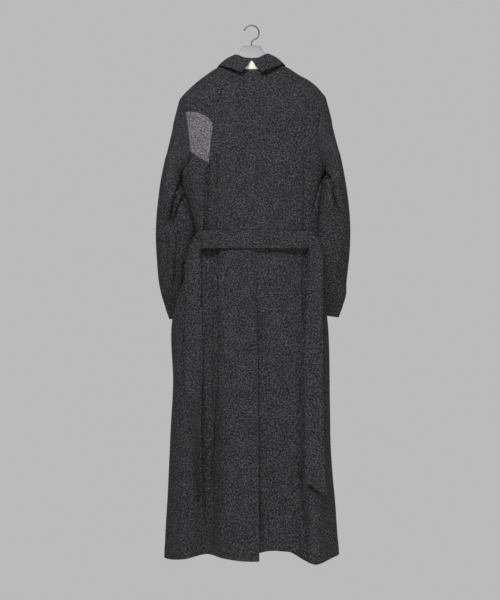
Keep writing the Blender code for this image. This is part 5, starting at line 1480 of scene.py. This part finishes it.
belt_x = BELT_LEFT + even(BELT_RIGHT - BELT_LEFT)
belt_sag = BELT_SAG * (1.0 - (2.0 * (belt_x - BELT_LEFT) / (BELT_RIGHT - BELT_LEFT) - 1.0) ** 2)
belt_levels = (even(BELT_TOP - BELT_BOTTOM) / (BELT_TOP - BELT_BOTTOM))[:, None]
belt_z = BELT_TOP + belt_sag + belt_levels * (BELT_BOTTOM - BELT_TOP - 2 * belt_sag)
belt_lift = sum(row.out * smoothstep(0.5 + (belt_x - row.start) / row.soft)
                * smoothstep(0.5 + (row.end - belt_x) / row.soft) for row in BELT_LIFTS)
belt_roll = BELT_ROLL * (4 * belt_levels * (1 - belt_levels)) ** 0.5
belt_y = belt_arc(belt_x) - belt_lift * belt_levels**BELT_LIFT_POWER - belt_roll
belt_points = np.stack(np.broadcast_arrays(belt_x, belt_y, belt_z), axis=-1)
dress("belt_strip", "belt_back", belt_points, BEHIND, charcoal, thickness=BELT_CLOTH,
      seams={"left": 0.0, "right": 0.0}, turned_grain=True)


# Belt tails
# The loose ends of the belt, of the same doubled tweed, which turn down from its two ends and hang over
# the back seams. The left one twists edge-on as it falls.
Tail = namedtuple("Tail", "inner_x inner_z outer_x outer_z turn")
TAIL = {
    -1: [Tail(-0.1303, -0.5800, -0.1303, -0.5350, 0.000), Tail(-0.1305, -0.5816, -0.1380, -0.5385, 0.000),
         Tail(-0.1306, -0.5832, -0.1448, -0.5470, 0.000), Tail(-0.1306, -0.5850, -0.1530, -0.5620, 0.000),
         Tail(-0.1306, -0.5900, -0.1600, -0.5860, 0.000), Tail(-0.1294, -0.6363, -0.1640, -0.6363, 0.000),
         Tail(-0.1281, -0.7124, -0.1664, -0.7124, 0.000), Tail(-0.1248, -0.8391, -0.1712, -0.8391, 0.000),
         Tail(-0.1248, -0.9000, -0.1699, -0.9000, 0.006), Tail(-0.1248, -0.9659, -0.1623, -0.9659, 0.022),
         Tail(-0.1248, -1.0318, -0.1535, -1.0318, 0.032), Tail(-0.1240, -1.1205, -0.1426, -1.1205, 0.038),
         Tail(-0.1236, -1.2270, -0.1310, -1.2230, 0.041)],
    1: [Tail(0.1468, -0.5800, 0.1468, -0.5350, 0.000), Tail(0.1470, -0.5816, 0.1560, -0.5380, 0.000),
        Tail(0.1467, -0.5832, 0.1650, -0.5450, 0.000), Tail(0.1465, -0.5850, 0.1745, -0.5575, 0.000),
        Tail(0.1462, -0.5900, 0.1812, -0.5750, 0.000), Tail(0.1452, -0.6150, 0.1845, -0.6113, 0.000),
        Tail(0.1401, -0.7124, 0.1820, -0.7124, 0.000), Tail(0.1358, -0.8135, 0.1818, -0.8135, 0.000),
        Tail(0.1350, -0.9650, 0.1830, -0.9650, 0.000), Tail(0.1350, -1.0913, 0.1843, -1.0913, 0.000),
        Tail(0.1338, -1.1720, 0.1875, -1.2080, 0.000)],
}
TAIL_ROWS = 24
TAIL_COLUMNS = 5
TAIL_TURN_ROWS = 5
TAIL_CROWD = 1.1
TAIL_CLEARANCE = 0.0030
TAIL_SMOOTHING = 4
TAIL_EDGE_RISE = 0.0028
TAIL_EDGE = 0.0045
TAIL_END_LIFT = {-1: 0.0, 1: 0.0125}
TAIL_END_REACH = 0.090
Flare = namedtuple("Flare", "z half_height out")
TAIL_FLARE = {-1: Flare(-0.640, 0.045, -0.0060), 1: Flare(-1.215, 0.030, 0.0045)}


def belt_tail(side):
    """Outer face of a hanging belt end, clear of the coat's back, turned edge-on where its row says so."""
    rows = TAIL[side]
    run = np.cumsum([0.0] + [math.hypot(b.inner_x - a.inner_x + b.outer_x - a.outer_x,
                                        b.inner_z - a.inner_z + b.outer_z - a.outer_z)
                             for a, b in zip(rows, rows[1:])])
    turned = run[TAIL_TURN_ROWS - 1]
    hanging = np.linspace(0.0, 1.0, TAIL_ROWS - TAIL_TURN_ROWS + 1)[1:] ** TAIL_CROWD
    at = np.concatenate([run[:TAIL_TURN_ROWS], turned + (run[-1] - turned) * hanging])
    column = {name: spline(run, [getattr(row, name) for row in rows], at) for name in Tail._fields}
    across = np.linspace(0.0, 1.0, TAIL_COLUMNS)
    x = column["outer_x"][:, None] * (1 - across) + column["inner_x"][:, None] * across
    z = column["outer_z"][:, None] * (1 - across) + column["inner_z"][:, None] * across
    belt_end = float(belt_arc(BELT_LEFT if side < 0 else BELT_RIGHT)) + BELT_CLOTH
    depth = np.minimum(belt_end, np.min(back_reach(x, z), axis=1) - TAIL_CLEARANCE)
    for _ in range(TAIL_SMOOTHING):
        smooth = np.convolve(np.pad(depth, 1, mode="edge"), [0.25, 0.5, 0.25], mode="valid")
        depth[1:] = np.minimum(depth, smooth)[1:]
    inner = np.stack([x, depth[:, None] - column["turn"][:, None] * across, z], axis=-1)
    normal = np.cross(np.gradient(inner, axis=1), np.gradient(inner, axis=0))
    normal /= np.linalg.norm(normal, axis=-1, keepdims=True)
    normal *= np.where(normal[..., 1:2] > 0, -1.0, 1.0)
    return inner + BELT_CLOTH * normal


for side in (-1, 1):
    coarse = belt_tail(side)
    points = take(take(coarse, places_along(coarse, 0), 0), places_along(coarse, 1), 1)
    distance = edge_distances(points)
    lift = TAIL_END_LIFT[side] * smoothstep(1.0 - distance["bottom"] / TAIL_END_REACH)
    for edge in ("left", "right"):
        lift = lift + TAIL_EDGE_RISE * np.exp(-(distance[edge] / TAIL_EDGE) ** 2)
    points = points + lift[..., None] * face_normal(points, BEHIND)
    flare = TAIL_FLARE[side]
    outward = distance["right"] / (distance["left"] + distance["right"])
    points[..., 0] += flare.out * outward * np.exp(-((points[..., 2] - flare.z) / flare.half_height) ** 2)
    dress("belt_end_" + WORD[side], "belt_tail_" + WORD[side], points, BEHIND, charcoal,
          thickness=BELT_CLOTH, seams={"top": 0.0}, upright=True)


# Hanger
# A broad moulded hanger with a flat-topped neck and two sloping arms inside the shoulders, in pale grey
# plastic with a satin face.
Bar = namedtuple("Bar", "x top bottom half_depth")
HANGER_NECK = [Bar(0.000, -0.0507, -0.150, 0.0090), Bar(0.0180, -0.0507, -0.150, 0.0090),
               Bar(0.0232, -0.0530, -0.150, 0.0090), Bar(0.0290, -0.0620, -0.151, 0.0092),
               Bar(0.0350, -0.0735, -0.152, 0.0095), Bar(0.0400, -0.0890, -0.153, 0.0095),
               Bar(0.0460, -0.1065, -0.154, 0.0100)]
HANGER_REST = 0.0730
HANGER_END = 0.166
HANGER_HEIGHT = 0.046
HANGER_END_HEIGHT = 0.032
HANGER_HALF_DEPTH = 0.0085
HANGER_END_HALF_DEPTH = 0.0080
HANGER_CLEARANCE = 0.0012
HANGER_SIDES = 40
HANGER_SQUARE = 3.6
ARM_STATIONS = 8
ARM_STEPS = 70
SLOPE_REACH = 0.004
TIP_OVER = 0.0005
TIP_ROUND = 0.008
TIP_LEAST = 0.03
SPECKLE = 0.0011
MARK_SPACING = 1.0 / 28.0
# Heights of the painted shade at the top of the hanger's neck and of the painted light lower down
PAINTED_SHADE_Z = -0.057
PAINTED_LIGHT_Z = -0.079


def satin_plastic(name, top_shade, pale):
    """Moulded plastic with a fine eggshell grain and faint handling marks; its colour is painted darker at
    the top and paler lower down, as painted shade and light.
    """
    material, shader, wire = new_finish(name, Specular_IOR_Level=0.25)
    place = wire.node("ShaderNodeTexCoord", None, None, "Object")
    grain = wire.node("ShaderNodeTexNoise", None, {"Vector": place, "Scale": 1.0 / SPECKLE, "Detail": 3.0})
    marks = wire.node("ShaderNodeTexNoise", None,
                      {"Vector": place, "Scale": 1.0 / MARK_SPACING, "Detail": 4.0, "Roughness": 0.6})
    high = wire.node("ShaderNodeSeparateXYZ", None, {"Vector": place}, "Z")
    # Painted shade and light: the colour runs from the darker tone at the top of the neck to the paler one
    # lower down, with the handling marks mixed in
    painted_light = (PAINTED_SHADE_Z - high) / (PAINTED_SHADE_Z - PAINTED_LIGHT_Z) + (marks - 0.5) * 0.4
    shade = wire.node("ShaderNodeValToRGB", {"stops": [(0.0, top_shade), (1.0, pale)]}, {"Fac": painted_light})
    bump = wire.node("ShaderNodeBump", None, {"Height": grain, "Strength": 0.12, "Distance": 0.0003})
    connect(shader, Base_Color=shade, Roughness=0.44 + marks * 0.14, Normal=bump)
    return material


def tube(name, rings, material, node):
    """Piece with a closed skin over a run of rings and a fan at each end; it stands for a node, if given."""
    count, sides = rings.shape[:2]
    points = np.concatenate([rings.reshape(-1, 3), rings[[0, -1]].mean(axis=1)])
    index = np.arange(count * sides).reshape(count, sides)
    after = np.roll(index, -1, axis=1)
    quads = np.stack([index[:-1], after[:-1], after[1:], index[1:]], axis=-1).reshape(-1, 4)
    caps = [[after[0, k], index[0, k], count * sides] for k in range(sides)]
    caps += [[index[-1, k], after[-1, k], count * sides + 1] for k in range(sides)]
    faces = quads.tolist() + caps
    if face_inwards(points, quads):
        faces = [face[::-1] for face in faces]
    piece = mesh_piece(name, points, faces, material)
    if node:
        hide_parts(node)


def hanger_arm(side):
    """Stations of one arm from the middle out: place across, top, bottom and half depth."""
    arm = [(bar.x, bar.top, bar.bottom, bar.half_depth) for bar in HANGER_NECK]
    for x in np.linspace(HANGER_REST, HANGER_END, ARM_STATIONS):
        share = (x - HANGER_REST) / (HANGER_END - HANGER_REST)
        line = shoulder_z(side * (x + np.array([-SLOPE_REACH, 0.0, SLOPE_REACH])))
        slant = math.hypot(1.0, (line[2] - line[0]) / (2.0 * SLOPE_REACH))
        crest = line[1] - (CLOTH + HANGER_CLEARANCE) * slant
        height = HANGER_HEIGHT + (HANGER_END_HEIGHT - HANGER_HEIGHT) * share
        depth = HANGER_HALF_DEPTH + (HANGER_END_HALF_DEPTH - HANGER_HALF_DEPTH) * share
        arm.append((x, crest, crest - height, depth))
    places = np.concatenate([[0.0, 0.5], np.linspace(1.0, len(arm) - 1, ARM_STEPS)])
    return take(np.array(arm), places, 0, breaks=(1,)) * (side, 1.0, 1.0, 1.0)


def whole_turn(sides):
    """Angles of the sides of a ring."""
    return np.linspace(0.0, 2.0 * math.pi, sides + 1)[:-1]


def squared(wave):
    """Sine or cosine of a ring with squarer corners."""
    return np.sign(wave) * np.abs(wave) ** (2.0 / HANGER_SQUARE)


stations = np.concatenate([hanger_arm(-1)[:0:-1], hanger_arm(1)])
station_x, station_top, station_bottom, station_depth = stations.T[:, :, None]
to_tip = HANGER_END + TIP_OVER - np.abs(station_x)
tip_round = np.sqrt(np.clip(to_tip / TIP_ROUND, TIP_LEAST, 1.0))
hanger_turn = whole_turn(HANGER_SIDES)
hanger_z = (0.5 * (station_top + station_bottom)
            + 0.5 * (station_top - station_bottom) * squared(np.cos(hanger_turn)) * tip_round)
hanger_y = station_depth * squared(np.sin(hanger_turn)) * tip_round
hanger_rings = np.stack(np.broadcast_arrays(station_x, hanger_y, hanger_z), axis=-1)
# The plastic's two tones are painted shade at the top and painted light lower down
pale_plastic = satin_plastic("pale_grey_plastic", top_shade=(0.295, 0.298, 0.306), pale=(0.48, 0.485, 0.50))
tube("hanger_bar", hanger_rings, pale_plastic, "hanger_body")


# Hook
# A round steel wire bent into a hook with a swan neck and a straight stem that stands on the hanger's
# neck. Its plating is dark and a little dulled.
HOOK_RADIUS = 0.0195
HOOK_WIRE = 0.0019
HOOK_TIP_DEGREES = 166.0
HOOK_LOW_DEGREES = -46.0
HOOK_STEM = 0.0085
HOOK_SIDES = 20
HOOK_STEPS = 61
SWAN_STEPS = 17
SWAN_POWER = 1.6
SWAN_DROP = 0.75
STEM_STEPS = 5
TIP_STEPS = 2.0
TIP_FLAT = 0.12
RUB_SPACING = 1.0 / 120.0
RUB_LIGHT = 1.5


def dark_chrome(name, colour):
    """Dark plated wire with lighter, rougher patches where it is rubbed."""
    material, shader, wire = new_finish(name, Metallic=1.0)
    place = wire.node("ShaderNodeTexCoord", None, None, "Object")
    rub = wire.node("ShaderNodeTexNoise", None, {"Vector": place, "Scale": 1.0 / RUB_SPACING, "Detail": 3.0})
    rubbed = tuple(RUB_LIGHT * part for part in colour)
    shade = wire.node("ShaderNodeValToRGB", {"stops": [(0.3, colour), (0.75, rubbed)]}, {"Fac": rub})
    connect(shader, Base_Color=shade, Roughness=0.36 + rub * 0.16)
    return material


hook_bend = np.radians(np.linspace(HOOK_TIP_DEGREES, HOOK_LOW_DEGREES, HOOK_STEPS))[:, None]
hook_crown = HOOK_RADIUS * np.concatenate([np.cos(hook_bend), np.sin(hook_bend)], axis=1)
hook_crown[:, 1] += HOOK_WIRE - HOOK_RADIUS
low_x, low_z = hook_crown[-1]
stem_foot = HANGER_NECK[0].top + SEAM_GAP
stem_top = HANGER_NECK[0].top + HOOK_STEM
t = np.linspace(0.0, 1.0, SWAN_STEPS)[1:, None]
swan_z = low_z + (stem_top - low_z) * (SWAN_DROP * t + (1.0 - SWAN_DROP) * t * t)
swan_neck = np.concatenate([low_x * (1.0 - t) ** SWAN_POWER, swan_z], axis=1)
stem = np.linspace((0.0, stem_top), (0.0, stem_foot), STEM_STEPS)[1:]
hook_path = np.concatenate([hook_crown, swan_neck, stem])
along = np.gradient(hook_path, axis=0)
along /= np.linalg.norm(along, axis=1, keepdims=True)
tip_share = np.arange(len(hook_path)) / TIP_STEPS
wire_radius = HOOK_WIRE * np.sqrt(np.clip(tip_share, TIP_FLAT, 1.0))[:, None]
wire_turn = whole_turn(HOOK_SIDES)
sideways = wire_radius * np.cos(wire_turn)
hook_rings = np.stack([hook_path[:, :1] + along[:, 1:] * sideways, wire_radius * np.sin(wire_turn),
                       hook_path[:, 1:] - along[:, :1] * sideways], axis=-1)
tube("hanger_wire", hook_rings, dark_chrome("dark_chrome", (0.125, 0.125, 0.13)), "hanger_hook")


# Neck stitches
# Three short hand stitches of tan thread under the notch, which catch the collar stand to the back. Each
# is a short length of thread lying on the tweed.
Stitch = namedtuple("Stitch", "x z slope")
NECK_STITCHES = [
    Stitch(-0.0042, -0.1259, 0.08),
    Stitch(0.0036, -0.1263, -0.05),
    Stitch(0.0112, -0.1258, 0.12),
]
STITCH_LENGTH = 0.0032
THREAD = 0.0005
STITCH_STEPS = 13
STITCH_SIDES = 10
STITCH_END = 0.05


def thread(name, dark, light):
    """Sewing thread: fine uneven plies in two shades."""
    material, shader, wire = new_finish(name, Roughness=0.7, Specular_IOR_Level=0.2)
    place = wire.node("ShaderNodeTexCoord", None, None, "Object")
    ply = wire.node("ShaderNodeTexNoise", None, {"Vector": place, "Scale": 1.0 / THREAD, "Detail": 2.0})
    shade = wire.node("ShaderNodeValToRGB", {"stops": [(0.35, dark), (0.65, light)]}, {"Fac": ply})
    bump = wire.node("ShaderNodeBump", None, {"Height": ply, "Strength": 0.3, "Distance": 0.0002})
    connect(shader, Base_Color=shade, Normal=bump)
    return material


tan_thread = thread("tan_thread", dark=(0.13, 0.08, 0.045), light=(0.33, 0.21, 0.12))
stitch_share, stitch_turn = np.meshgrid(np.linspace(-1.0, 1.0, STITCH_STEPS), whole_turn(STITCH_SIDES),
                                        indexing="ij")
stitch_radius = THREAD * np.sqrt(np.clip(1.0 - stitch_share**4, STITCH_END, 1.0))
for number, stitch in enumerate(NECK_STITCHES, 1):
    x = stitch.x + 0.5 * STITCH_LENGTH * stitch_share
    z = stitch.z + stitch.slope * (x - stitch.x) + stitch_radius * np.sin(stitch_turn)
    y = back_reach(x, z) - THREAD - stitch_radius * np.cos(stitch_turn)
    tube("neck_stitch_%d" % number, np.stack([x, y, z], axis=-1), tan_thread, None)
